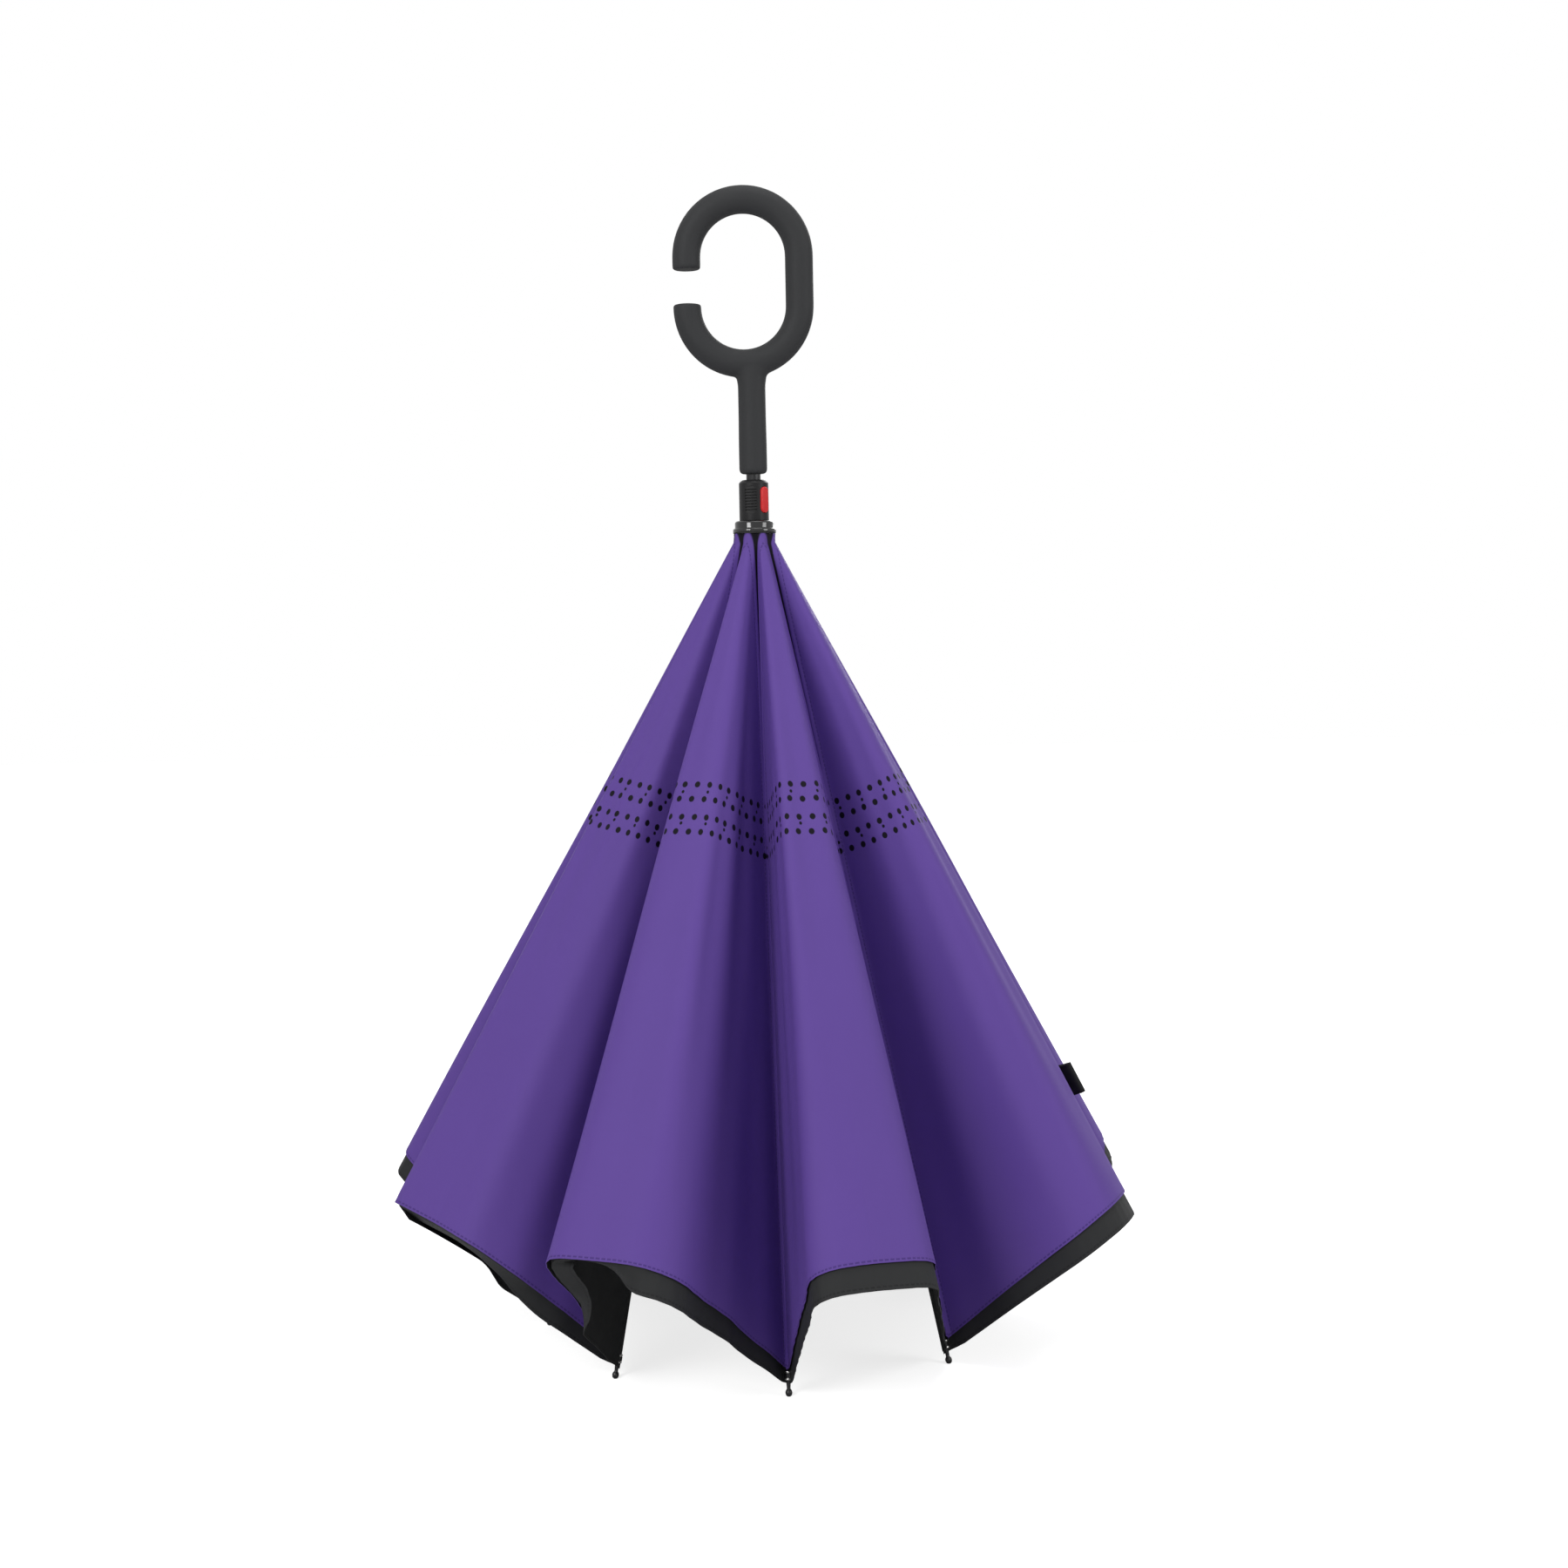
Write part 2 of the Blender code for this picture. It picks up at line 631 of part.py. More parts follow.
def build_stretchers(steel):
    length, angle = stretcher_line()
    half = STRETCHER_WIDTH / 2
    low = SIDE_STEP - STRETCHER_THICKNESS / 2
    high = SIDE_STEP + STRETCHER_THICKNESS / 2
    rings = rounded_end(half, low, high, -1)
    rings.append(bar_section(0, low, high, -half, half, BAR_CORNER_SHARE))
    rings.append(bar_section(length, low, high, -half, half, BAR_CORNER_SHARE))
    for section in reversed(rounded_end(half, low, high, 1)):
        for point in section:
            point.x += length
        rings.append(section)
    bm = bmesh.new()
    loft(bm, rings)
    bar = make("stretcher_1", bm, steel)
    hole = peg("stretcher_hole_1", HUB_PIN_RADIUS + GAP, STRETCHER_THICKNESS + OVERRUN, sides=10)
    head = peg("stretcher_rivet_1", RIVET_RADIUS, STRETCHER_THICKNESS + RIVET_HEIGHT - GAP)
    hole_place = Matrix.Translation((0, SIDE_STEP, 0))
    head_place = Matrix.Translation((length, SIDE_STEP + (RIVET_HEIGHT + GAP) / 2, 0))
    for index in range(RIB_COUNT):
        out = azimuth_direction(rib_azimuth(index))
        along = out * math.sin(angle) + Vector((0, 0, 1)) * math.cos(angle)
        normal = Vector((0, 0, 1)) * math.sin(angle) - out * math.cos(angle)
        origin = out * CROWN_PIVOT_RADIUS + Vector((0, 0, CROWN_PIVOT_Z))
        matrix = frame(origin, along, normal)
        piece = numbered("stretcher", bar, index, matrix)
        combine(piece, numbered("stretcher_hole", hole, index, matrix @ hole_place), "DIFFERENCE")
        combine(piece, numbered("stretcher_rivet", head, index, matrix @ head_place), "UNION")


# Crown and shaft

def build_crown(plastic, steel):
    bore = SHAFT_RADIUS + GAP
    bottom = CROWN_PIVOT_Z - HUB_BELOW
    top = CROWN_PIVOT_Z + HUB_ABOVE
    edge = HUB_RADIUS / 12
    hub = turned("crown_hub", [
        (bore, bottom), (HUB_RADIUS - edge, bottom), (HUB_RADIUS, bottom + edge),
        (HUB_RADIUS, top - edge), (HUB_RADIUS - edge, top), (bore, top)], plastic, 32)
    slot_floor = CROWN_PIVOT_Z - STRETCHER_WIDTH / 2 - RUNNING_GAP
    slot_start = CROWN_PIVOT_RADIUS - STRETCHER_WIDTH / 2 - GAP
    slot_length = HUB_RADIUS + OVERRUN - slot_start
    slot_height = top + OVERRUN - slot_floor
    slot_width = STRETCHER_THICKNESS + 2 * GAP
    for index in range(RIB_COUNT):
        place_out = turn(rib_azimuth(index))
        centre = Vector((SIDE_STEP, -slot_start - slot_length / 2, slot_floor + slot_height / 2))
        slot = block(f"hub_slot_{index + 1}", (slot_width, slot_length, slot_height),
                     place_out @ Matrix.Translation(centre))
        combine(hub, slot, "DIFFERENCE")
    crosswise = Matrix.Rotation(math.pi / 2, 4, "Z")
    pin_place = Matrix.Translation((SIDE_STEP, -CROWN_PIVOT_RADIUS, CROWN_PIVOT_Z)) @ crosswise
    for index in range(RIB_COUNT):
        pin = peg(f"hub_pin_{index + 1}", HUB_PIN_RADIUS, slot_width + GAP * 2,
                  turn(rib_azimuth(index)) @ pin_place, 8)
        combine(hub, pin, "UNION")

    cap_top = bottom - GAP
    cap_bottom = cap_top - CAP_HEIGHT
    turned("end_cap", [
        (bore, cap_top), (bore, SHAFT_BOTTOM_Z - GAP), (0.0, SHAFT_BOTTOM_Z - GAP), (0.0, cap_bottom),
        (CAP_TIP_RADIUS * 0.6, cap_bottom), (CAP_TIP_RADIUS, cap_bottom + CAP_TIP_RADIUS * 0.4),
        (CAP_TIP_RADIUS * 1.25, cap_bottom + CAP_FLOOR), (HUB_RADIUS - edge, cap_top - CAP_HEIGHT / 5),
        (HUB_RADIUS - edge, cap_top)], plastic, 24)

    top_z = STEM_Z + SHAFT_IN_HANDLE
    inner = SHAFT_RADIUS - SHAFT_WALL
    shaft = turned("shaft", [
        (inner, SHAFT_BOTTOM_Z), (SHAFT_RADIUS, SHAFT_BOTTOM_Z), (SHAFT_RADIUS, top_z), (inner, top_z)],
        steel, 20)
    button_z = SLEEVE_Z + SLEEVE_HEIGHT / 2
    for name, height in (("closed_catch", button_z), ("open_catch", button_z - runner_travel())):
        matrix = turn(BUTTON_AZIMUTH) @ Matrix.Translation((0, -SHAFT_RADIUS, height))
        slot = block(name, (LATCH_SLOT_WIDTH, SHAFT_RADIUS, LATCH_SLOT_HEIGHT), matrix)
        combine(shaft, slot, "DIFFERENCE")


# Runner

def build_runner(plastic, gloss, steel, red):
    bore = SHAFT_RADIUS + RUNNING_GAP
    ring_bottom = PIVOT_Z - RING_BELOW
    groove_low = PIVOT_RADIUS - WIRE_RADIUS - GAP
    groove_high = PIVOT_RADIUS + WIRE_RADIUS + GAP
    groove_floor = PIVOT_Z - WIRE_RADIUS - GAP
    ring = turned("rib_ring", [
        (bore, ring_bottom), (RING_RADIUS, ring_bottom), (RING_RADIUS, RING_TOP_Z),
        (groove_high, RING_TOP_Z), (groove_high, groove_floor), (groove_low, groove_floor),
        (groove_low, RING_TOP_Z), (bore, RING_TOP_Z)], plastic, 32)
    slot_width = BLADE_THICKNESS + 2 * GAP
    slot_start = PIVOT_RADIUS - BLADE_WIDTH / 2 - GAP
    slot_length = RING_RADIUS + OVERRUN - slot_start
    rise = OPEN_ANGLE - math.pi / 2
    slot_top = (PIVOT_Z + (RING_RADIUS - PIVOT_RADIUS) * math.tan(rise)
                + BLADE_WIDTH / 2 / math.cos(rise) + RUNNING_GAP)
    slot_height = slot_top - ring_bottom + OVERRUN
    for index in range(RIB_COUNT):
        centre = Vector((0, -slot_start - slot_length / 2, slot_top - slot_height / 2))
        slot = block(f"ring_slot_{index + 1}", (slot_width, slot_length, slot_height),
                     turn(rib_azimuth(index)) @ Matrix.Translation(centre))
        combine(ring, slot, "DIFFERENCE")

    section = [(PIVOT_RADIUS + WIRE_RADIUS * math.cos(math.radians(60 * i)),
                PIVOT_Z + WIRE_RADIUS * math.sin(math.radians(60 * i))) for i in range(6)]
    turned("rib_wire", section, steel, 40)

    step = COLLAR_HEIGHT / 10
    turned("runner_collar", [
        (bore, COLLAR_Z), (COLLAR_RADIUS - step, COLLAR_Z), (COLLAR_RADIUS, COLLAR_Z + step),
        (COLLAR_RADIUS, COLLAR_Z + 2.5 * step), (COLLAR_RADIUS - step / 2, COLLAR_Z + 3.5 * step),
        (COLLAR_TOP_RADIUS + step / 2, COLLAR_Z + 8 * step),
        (COLLAR_TOP_RADIUS, COLLAR_Z + 9 * step), (COLLAR_TOP_RADIUS - step, COLLAR_Z + COLLAR_HEIGHT),
        (bore, COLLAR_Z + COLLAR_HEIGHT)], gloss, 32)

    top = SLEEVE_Z + SLEEVE_HEIGHT
    sleeve = turned("runner_sleeve", [
        (bore, SLEEVE_Z), (SLEEVE_RADIUS, SLEEVE_Z), (SLEEVE_RADIUS, top - SLEEVE_CHAMFER),
        (SLEEVE_RADIUS - SLEEVE_CHAMFER / 3, top - SLEEVE_CHAMFER / 3),
        (SLEEVE_RADIUS - SLEEVE_CHAMFER, top), (bore, top)], plastic, 32)
    face = turn(GRIP_AZIMUTH)
    middle_z = SLEEVE_Z + SLEEVE_HEIGHT / 2
    for i in range(GRIP_COUNT):
        z = middle_z + GRIP_PITCH * (i - (GRIP_COUNT - 1) / 2)
        groove = block(f"grip_groove_{i + 1}", (GRIP_WIDTH, 2 * GRIP_DEPTH + OVERRUN, GRIP_GROOVE),
                       face @ Matrix.Translation((0, -SLEEVE_RADIUS - OVERRUN / 2, z)))
        combine(sleeve, groove, "DIFFERENCE")
    build_button(sleeve, middle_z, red, steel)


def lozenge(half_width, half_height, y_low, y_high, steps=6):
    """A bar with half-round ends, standing along z, between two depths on -y."""
    outline = []
    for centre, start in ((half_height - half_width, 0.0), (half_width - half_height, math.pi)):
        for i in range(steps + 1):
            angle = start + math.pi * i / steps
            outline.append((half_width * math.cos(angle), centre + half_width * math.sin(angle)))
    return [[Vector((x, -y, z)) for x, z in outline] for y in (y_low, y_high)]


def build_button(sleeve, middle_z, red, steel):
    half_width = BUTTON_WIDTH / 2
    half_height = BUTTON_HEIGHT / 2
    face = turn(BUTTON_AZIMUTH) @ Matrix.Translation((0, 0, middle_z))
    pocket = bmesh.new()
    loft(pocket, lozenge(half_width + GAP, half_height + GAP, POCKET_FLOOR, SLEEVE_RADIUS + OVERRUN))
    cutter = make("button_pocket", pocket, red, face)
    combine(sleeve, cutter, "DIFFERENCE")

    top = SLEEVE_RADIUS + BUTTON_PROUD
    edge = BUTTON_PROUD / 2
    button = bmesh.new()
    rings = lozenge(half_width, half_height, BUTTON_INNER, top - edge)
    rings.append(lozenge(half_width - edge, half_height - edge, top, top)[0])
    loft(button, rings)
    make("release_button", button, red, face, sharp=60)

    spring = bmesh.new()
    low = POCKET_FLOOR + GAP
    high = BUTTON_INNER - GAP - SPRING_THICKNESS
    steps = 8
    rings = []
    for i in range(steps + 1):
        share = 2 * i / steps - 1
        depth = low + (high - low) * (1 - share ** 2)
        z = share * SPRING_LENGTH / 2
        rings.append([Vector((x, -y, z)) for x, y in (
            (-SPRING_WIDTH / 2, depth), (SPRING_WIDTH / 2, depth),
            (SPRING_WIDTH / 2, depth + SPRING_THICKNESS), (-SPRING_WIDTH / 2, depth + SPRING_THICKNESS))])
    loft(spring, rings)
    make("button_spring", spring, steel, face)


# Handle

def handle_path():
    """The middle line of the C, from its upper end over the top and round to its lower end."""
    half_width = HANDLE_WIDTH / 2 - GRIP_RADIUS
    centre_z = TOTAL_HEIGHT - HANDLE_HEIGHT / 2
    straight = HANDLE_HEIGHT / 2 - GRIP_RADIUS - half_width
    gap_centre = centre_z - HANDLE_GAP_DROP
    end_inset = GRIP_RADIUS * END_SHARES[0][0]
    upper = gap_centre + HANDLE_GAP / 2 + end_inset
    lower = gap_centre - HANDLE_GAP / 2 - end_inset
    points = [Vector((-half_width, 0, upper))]
    steps = 12
    for i in range(steps + 1):
        angle = math.pi * (1 - i / steps)
        points.append(Vector((half_width * math.cos(angle), 0,
                              centre_z + straight + half_width * math.sin(angle))))
    for i in range(steps + 1):
        angle = -math.pi * i / steps
        points.append(Vector((half_width * math.cos(angle), 0,
                              centre_z - straight + half_width * math.sin(angle))))
    points.append(Vector((-half_width, 0, lower)))
    return [point - Vector((HANDLE_SHIFT, 0, 0)) for point in points]


def tube_rings(path, radius, sides):
    """Rings square to a path that lies in the XZ plane, with rounded ends."""
    rings = []
    count = len(path)
    for i, point in enumerate(path):
        before = path[max(i - 1, 0)]
        after = path[min(i + 1, count - 1)]
        along = (after - before).normalized()
        across = Vector((along.z, 0, -along.x))
        start = [(-back, wide) for back, wide in END_SHARES]
        end = [(back, wide) for back, wide in reversed(END_SHARES)]
        profile = start if i == 0 else end if i == count - 1 else END_SHARES[-1:]
        for forward_share, radius_share in profile:
            centre = point + along * (radius * forward_share)
            rings.append([centre + (across * math.cos(2 * math.pi * k / sides)
                                    + Vector((0, 1, 0)) * math.sin(2 * math.pi * k / sides))
                          * (radius * radius_share) for k in range(sides)])
    return rings


def build_handle(rubber):
    bm = bmesh.new()
    loft(bm, tube_rings(handle_path(), GRIP_RADIUS, 16))
    handle = make("handle_grip", bm, rubber, sharp=60)
    junction = TOTAL_HEIGHT - HANDLE_HEIGHT
    stem = turned("handle_stem", [
        (0.0, STEM_Z), (STEM_RADIUS - NECK_LENGTH / 3, STEM_Z), (STEM_RADIUS, STEM_Z + NECK_LENGTH / 3),
        (STEM_WAIST, (STEM_Z + junction) / 2), (STEM_WAIST, junction - STEM_FLARE_HEIGHT),
        (STEM_FLARE, junction + GRIP_RADIUS / 4), (STEM_WAIST * 0.9, junction + GRIP_RADIUS),
        (0.0, junction + GRIP_RADIUS)], rubber, 24, 60)
    combine(handle, stem, "UNION")
    depth = SHAFT_IN_HANDLE + GAP
    middle = Matrix.Translation((0, 0, STEM_Z + (depth - OVERRUN) / 2))
    bore = peg("stem_bore", SHAFT_RADIUS + GAP, depth + OVERRUN,
               middle @ Matrix.Rotation(math.pi / 2, 4, "X"), 20)
    combine(handle, bore, "DIFFERENCE")


def build():
    for obj in list(bpy.data.objects):
        bpy.data.objects.remove(obj, do_unlink=True)
    inner_cloth = finish("violet cloth", (0.107, 0.058, 0.287), 0.62)
    outer_cloth = finish("black cloth", (0.012, 0.012, 0.013), 0.70)
    tape = finish("black seam tape", (0.010, 0.010, 0.011), 0.75)
    webbing = finish("black webbing", (0.013, 0.013, 0.014), 0.80)
    rubber = finish("charcoal soft-touch", (0.038, 0.040, 0.041), 0.55)
    plastic = finish("black plastic", (0.016, 0.016, 0.017), 0.42)
    gloss = finish("gloss black plastic", (0.010, 0.010, 0.010), 0.18)
    red = finish("red plastic", (0.620, 0.022, 0.030), 0.35)
    shaft_steel = finish("painted steel", (0.030, 0.030, 0.032), 0.32, 0.6)
    steel = finish("plated steel", (0.560, 0.560, 0.560), 0.28, 1.0)
    rod = finish("black rod", (0.014, 0.014, 0.015), 0.40)

    build_handle(rubber)
    build_crown(plastic, shaft_steel)
    build_runner(plastic, gloss, steel, red)
    build_ribs(steel, rod)
    build_stretchers(steel)
    for index in range(RIB_COUNT):
        build_gore(index, inner_cloth, outer_cloth, tape)
    build_strap(webbing)


build()
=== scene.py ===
"""An inverted umbrella, folded and standing on its rib tips with the handle up.

Metres, +Z up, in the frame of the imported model. Azimuths turn from -Y towards +X.
"""
import math

import bmesh
import bpy
from mathutils import Matrix, Vector


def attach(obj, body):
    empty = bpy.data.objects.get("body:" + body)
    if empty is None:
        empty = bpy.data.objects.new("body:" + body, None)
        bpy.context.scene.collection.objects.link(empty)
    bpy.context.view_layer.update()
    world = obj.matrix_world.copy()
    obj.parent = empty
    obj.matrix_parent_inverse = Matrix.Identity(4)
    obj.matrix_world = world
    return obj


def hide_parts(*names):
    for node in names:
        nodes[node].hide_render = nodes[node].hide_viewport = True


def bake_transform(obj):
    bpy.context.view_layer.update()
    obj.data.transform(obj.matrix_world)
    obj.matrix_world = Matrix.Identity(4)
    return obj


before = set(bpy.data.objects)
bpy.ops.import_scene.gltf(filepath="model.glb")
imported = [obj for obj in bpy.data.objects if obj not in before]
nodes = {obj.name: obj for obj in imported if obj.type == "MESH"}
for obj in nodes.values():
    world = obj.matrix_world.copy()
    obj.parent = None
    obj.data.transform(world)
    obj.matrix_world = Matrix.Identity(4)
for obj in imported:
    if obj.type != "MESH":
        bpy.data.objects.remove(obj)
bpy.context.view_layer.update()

# Folding frame, as in the solids
RIB_COUNT = 8
FRONT_RIB = 2
RIB_TURN = math.radians(4)
STEP = 2 * math.pi / RIB_COUNT
CLOSED_ANGLE = math.radians(15)
OPEN_ANGLE = math.radians(111)
RIB_REACH = 0.575
RIB_RADIUS = 0.00175
PIVOT_RADIUS = 0.010
PIVOT_Z = RIB_REACH * math.cos(CLOSED_ANGLE)
SEAM_LIFT = RIB_RADIUS + 0.0004

# Canopies
HEM_SETBACK = 0.0158
HEM_HOLLOW = 0.016
HEM_BAND = 0.016
HEM_BAND_TIP = 0.0095
NECK_RADIUS = 0.0137
CANOPY_START = 0.0054
BLACK_START = 0.268
# Each fold's two ridges, as shares of the way to the next rib, and how far out the second one stands
FOLD_SHARES = (
    (0.49, 0.94, 0.84), (0.22, 0.62, 1.02), (0.03, 0.41, 0.95), (0.12, 0.60, 0.90),
    (0.10, 0.66, 0.94), (0.27, 0.70, 1.00), (0.24, 0.82, 1.00), (0.30, 0.80, 1.10),
)
# How far each fold's two ridges are rounded, as shares of the panels beside them
SOFT_SHARES = (
    (0.14, 0.85), (0.45, 0.90), (0.60, 0.45), (0.90, 0.90),
    (0.80, 0.80), (0.70, 0.80), (0.80, 0.70), (0.80, 0.40),
)

# Where the black band turns under: from and to, in shares of a gore's near and middle panels, and how far
BAND_CURLS = {0: (0.20, 1.90, 1.30), 1: (0.35, 1.10, 1.80)}

# How the cloth lies: heights over its middle surface, their places and reaches, and each gore's ripple phase
SEAM_ROLL = 0.0015
SEAM_ROLL_PLACE = 0.0026
SEAM_ROLL_WIDTH = 0.0013
SEAM_ROLL_GROWTH = 0.2
CALM_BY_SEAM = 0.04
CALM_TO = 0.05
CALM_GROWTH = 0.25
RIPPLE_HEIGHT = 0.0011
RIPPLES_ACROSS = 58
RIPPLES_ALONG = 9
RIPPLE_SLANT = 7
RIPPLE_OFFSET = 1.9
PUCKER_HEIGHT = 0.00025
PUCKERS_ACROSS = 900
PUCKER_REACH = 0.009
NECK_GATHER = 0.0007
NECK_GATHER_REACH = 0.0035
BLACK_DEPTH = 0.0016
BLACK_DEPTH_GROWTH = 0.006
BLACK_BOUND_REACH = 0.06
BEHIND_RIB_DEPTH = 0.0050
BEHIND_RIB_REACH = 0.012
BEHIND_RIB_GROWTH = 0.010
CURL_GROWTH = 0.10
CURL_DECLINE = 0.12

# The violet cloth's turned-in far edge: its depth at the hem, the depth added towards the hub, where it
# starts and how soon it is at its depth, and its lean
PLEAT_HEM_DEPTH = 0.0004
PLEAT_DEPTH = 0.0098
PLEAT_START = 0.005
PLEAT_GROWTH = 0.012
PLEAT_LEAN = 0.0012
PLEAT_COLUMNS = 4

# Sheets
CREASE_HALF_WIDTH = 0.0032
VIOLET_FLAT = (0.24, 0.56)
VIOLET_THICKNESS = 0.0004
VIOLET_ROWS = 72
BLACK_FLAT = (0.25, 0.31)
BLACK_THICKNESS = 0.0005
BLACK_ROWS = 40
TAPE_START = 0.062
TAPE_END_SHARE = 0.975
TAPE_ROWS = 60
TAPE_COLUMNS = 4
TAPE_WIDTH = 0.0050
TAPE_INSET = 0.0024
TAPE_DEPTH = 0.0012
TAPE_THICKNESS = 0.0004

# Where a sheet has its columns, in radians from a seam, and how far apart they are further in
SEAM_COLUMNS = (0.0, 0.0012, 0.0024, 0.0036, 0.0048, 0.0060, 0.0075, 0.0095, 0.0125)
COLUMN_PITCH = 0.0085

# Closing strap
STRAP_GORE = 3
STRAP_REACH = RIB_REACH - 0.150
STRAP_WIDTH = 0.022
STRAP_LOOP = 0.014
STRAP_SEWN_SHARE = 0.45
STRAP_LEAVE_SHARE = 0.15
STRAP_POINTS = 9
STRAP_THICKNESS = 0.0011
STRAP_LIFT = 0.0012
STRAP_LIFT_GAIN = 0.0006
STRAP_RISE = 0.0022
STRAP_BEND = 0.0014
STRAP_RETURN = 1.5
STRAP_RETURN_DROP = 0.0012
SEWN_STEPS = 14
LOOP_STEPS = 8
BEND_STEPS = 6

# Runner and handle
COLLAR_Z = PIVOT_Z + 0.0053
COLLAR_HEIGHT = 0.0090
SLEEVE_Z = COLLAR_Z + COLLAR_HEIGHT + 0.0003
SLEEVE_HEIGHT = 0.0280
SLEEVE_RADIUS = 0.0103
STEM_Z = SLEEVE_Z + SLEEVE_HEIGHT + 0.0042
TOTAL_HEIGHT = 0.800
HANDLE_WIDTH = 0.097
HANDLE_HEIGHT = 0.131
HANDLE_SHIFT = 0.0045
GRIP_RADIUS = 0.0095
HANDLE_GAP = 0.0237
HANDLE_GAP_DROP = 0.0030
HANDLE_VOXEL = 0.0009
SMOOTHING_LOSS = 0.00025
END_ROUNDING = 0.0013
THUMB_PANEL = math.radians(-12)
BUTTON_AZIMUTH = math.radians(45)
RUNNER_BORE = 0.0055

# Half width, half height and depth of the bars that shape the runner, and how far out each one starts
THUMB_RECESS = (0.0049, 0.0098, 0.004)
THUMB_RECESS_PLACE = SLEEVE_RADIUS - 0.0006
BUTTON_POCKET = (0.0035, 0.0093, 0.008)
BUTTON_POCKET_PLACE = 0.0064
BUTTON = (0.0032, 0.0090, 0.0029)
BUTTON_PLACE = 0.0085
BUTTON_EASE = 0.0006

# Grooves across the thumb panel
GROOVE_SIZE = (0.0082, 0.004, 0.0010)
GROOVE_COUNT = 8
GROOVE_PITCH = 0.0020
GROOVE_PLACE = SLEEVE_RADIUS + 0.0002


# Node building

def socket(tree, target, source):
    if isinstance(source, bpy.types.NodeSocket):
        tree.links.new(source, target)
    else:
        target.default_value = source


def calc(tree, operation, *values, clamp=False):
    node = tree.nodes.new("ShaderNodeMath")
    node.operation = operation
    node.use_clamp = clamp
    for target, source in zip(node.inputs, values):
        socket(tree, target, source)
    return node.outputs[0]


def mix_colour(tree, factor, first, second):
    node = tree.nodes.new("ShaderNodeMix")
    node.data_type = "RGBA"
    socket(tree, node.inputs[0], factor)
    socket(tree, node.inputs[6], first)
    socket(tree, node.inputs[7], second)
    return node.outputs[2]


def noise(tree, vector, scale, detail=3.0, roughness=0.55):
    node = tree.nodes.new("ShaderNodeTexNoise")
    socket(tree, node.inputs["Vector"], vector)
    node.inputs["Scale"].default_value = scale
    node.inputs["Detail"].default_value = detail
    node.inputs["Roughness"].default_value = roughness
    return node.outputs[0]


def remap(tree, value, low, high, out_low, out_high):
    node = tree.nodes.new("ShaderNodeMapRange")
    socket(tree, node.inputs["Value"], value)
    for name, number in (("From Min", low), ("From Max", high), ("To Min", out_low), ("To Max", out_high)):
        node.inputs[name].default_value = number
    return node.outputs[0]


def split(tree, vector):
    node = tree.nodes.new("ShaderNodeSeparateXYZ")
    socket(tree, node.inputs[0], vector)
    return node.outputs[0], node.outputs[1], node.outputs[2]


def length_of(tree, first, second):
    squares = [calc(tree, "MULTIPLY", value, value) for value in (first, second)]
    return calc(tree, "SQRT", calc(tree, "ADD", *squares))


def new_group(name, inputs, outputs):
    tree = bpy.data.node_groups.new(name, "ShaderNodeTree")
    for label, kind in inputs:
        tree.interface.new_socket(label, in_out="INPUT", socket_type=kind)
    for label, kind in outputs:
        tree.interface.new_socket(label, in_out="OUTPUT", socket_type=kind)
    entry = tree.nodes.new("NodeGroupInput")
    leave = tree.nodes.new("NodeGroupOutput")
    return tree, entry, leave


def use_group(tree, group, **values):
    node = tree.nodes.new("ShaderNodeGroup")
    node.node_tree = group
    for label, source in values.items():
        socket(tree, node.inputs[label], source)
    return node


FLOAT, VECTOR = "NodeSocketFloat", "NodeSocketVector"


def weave_group():
    """Plain weave: warp and weft threads that pass over each other in turn."""
    tree, entry, leave = new_group("plain weave", [("Vector", VECTOR), ("Pitch", FLOAT)],
                                   [("Height", FLOAT), ("Tone", FLOAT)])
    u, v, _ = split(tree, entry.outputs["Vector"])
    warp, weft = [
        calc(tree, "SINE", calc(tree, "MULTIPLY", calc(tree, "DIVIDE", run, entry.outputs["Pitch"]), math.pi))
        for run in (u, v)]
    over = calc(tree, "MULTIPLY", calc(tree, "MULTIPLY", warp, weft), 3.0, clamp=True)
    high = calc(tree, "MULTIPLY", calc(tree, "ABSOLUTE", warp), over)
    low = calc(tree, "MULTIPLY", calc(tree, "ABSOLUTE", weft), calc(tree, "SUBTRACT", 1.0, over))
    height = calc(tree, "ADD", high, low)
    tree.links.new(height, leave.inputs["Height"])
    # Tone from height: painted highlight on the raised threads and painted shade between them
    tree.links.new(remap(tree, height, 0.0, 1.0, 0.94, 1.04), leave.inputs["Tone"])
    return tree


def mottle_group():
    """Slow and fine variation of tone, as dyed and moulded surfaces have."""
    tree, entry, leave = new_group(
        "mottle", [("Vector", VECTOR), ("Amount", FLOAT)], [("Tone", FLOAT)])
    slow = noise(tree, entry.outputs["Vector"], 14.0, 2.0)
    fine = noise(tree, entry.outputs["Vector"], 900.0, 2.0, 0.6)
    both = calc(tree, "ADD", calc(tree, "MULTIPLY", slow, 0.6), calc(tree, "MULTIPLY", fine, 0.4))
    swing = calc(tree, "MULTIPLY", calc(tree, "SUBTRACT", both, 0.5), entry.outputs["Amount"])
    tree.links.new(calc(tree, "ADD", swing, 1.0), leave.inputs["Tone"])
    return tree


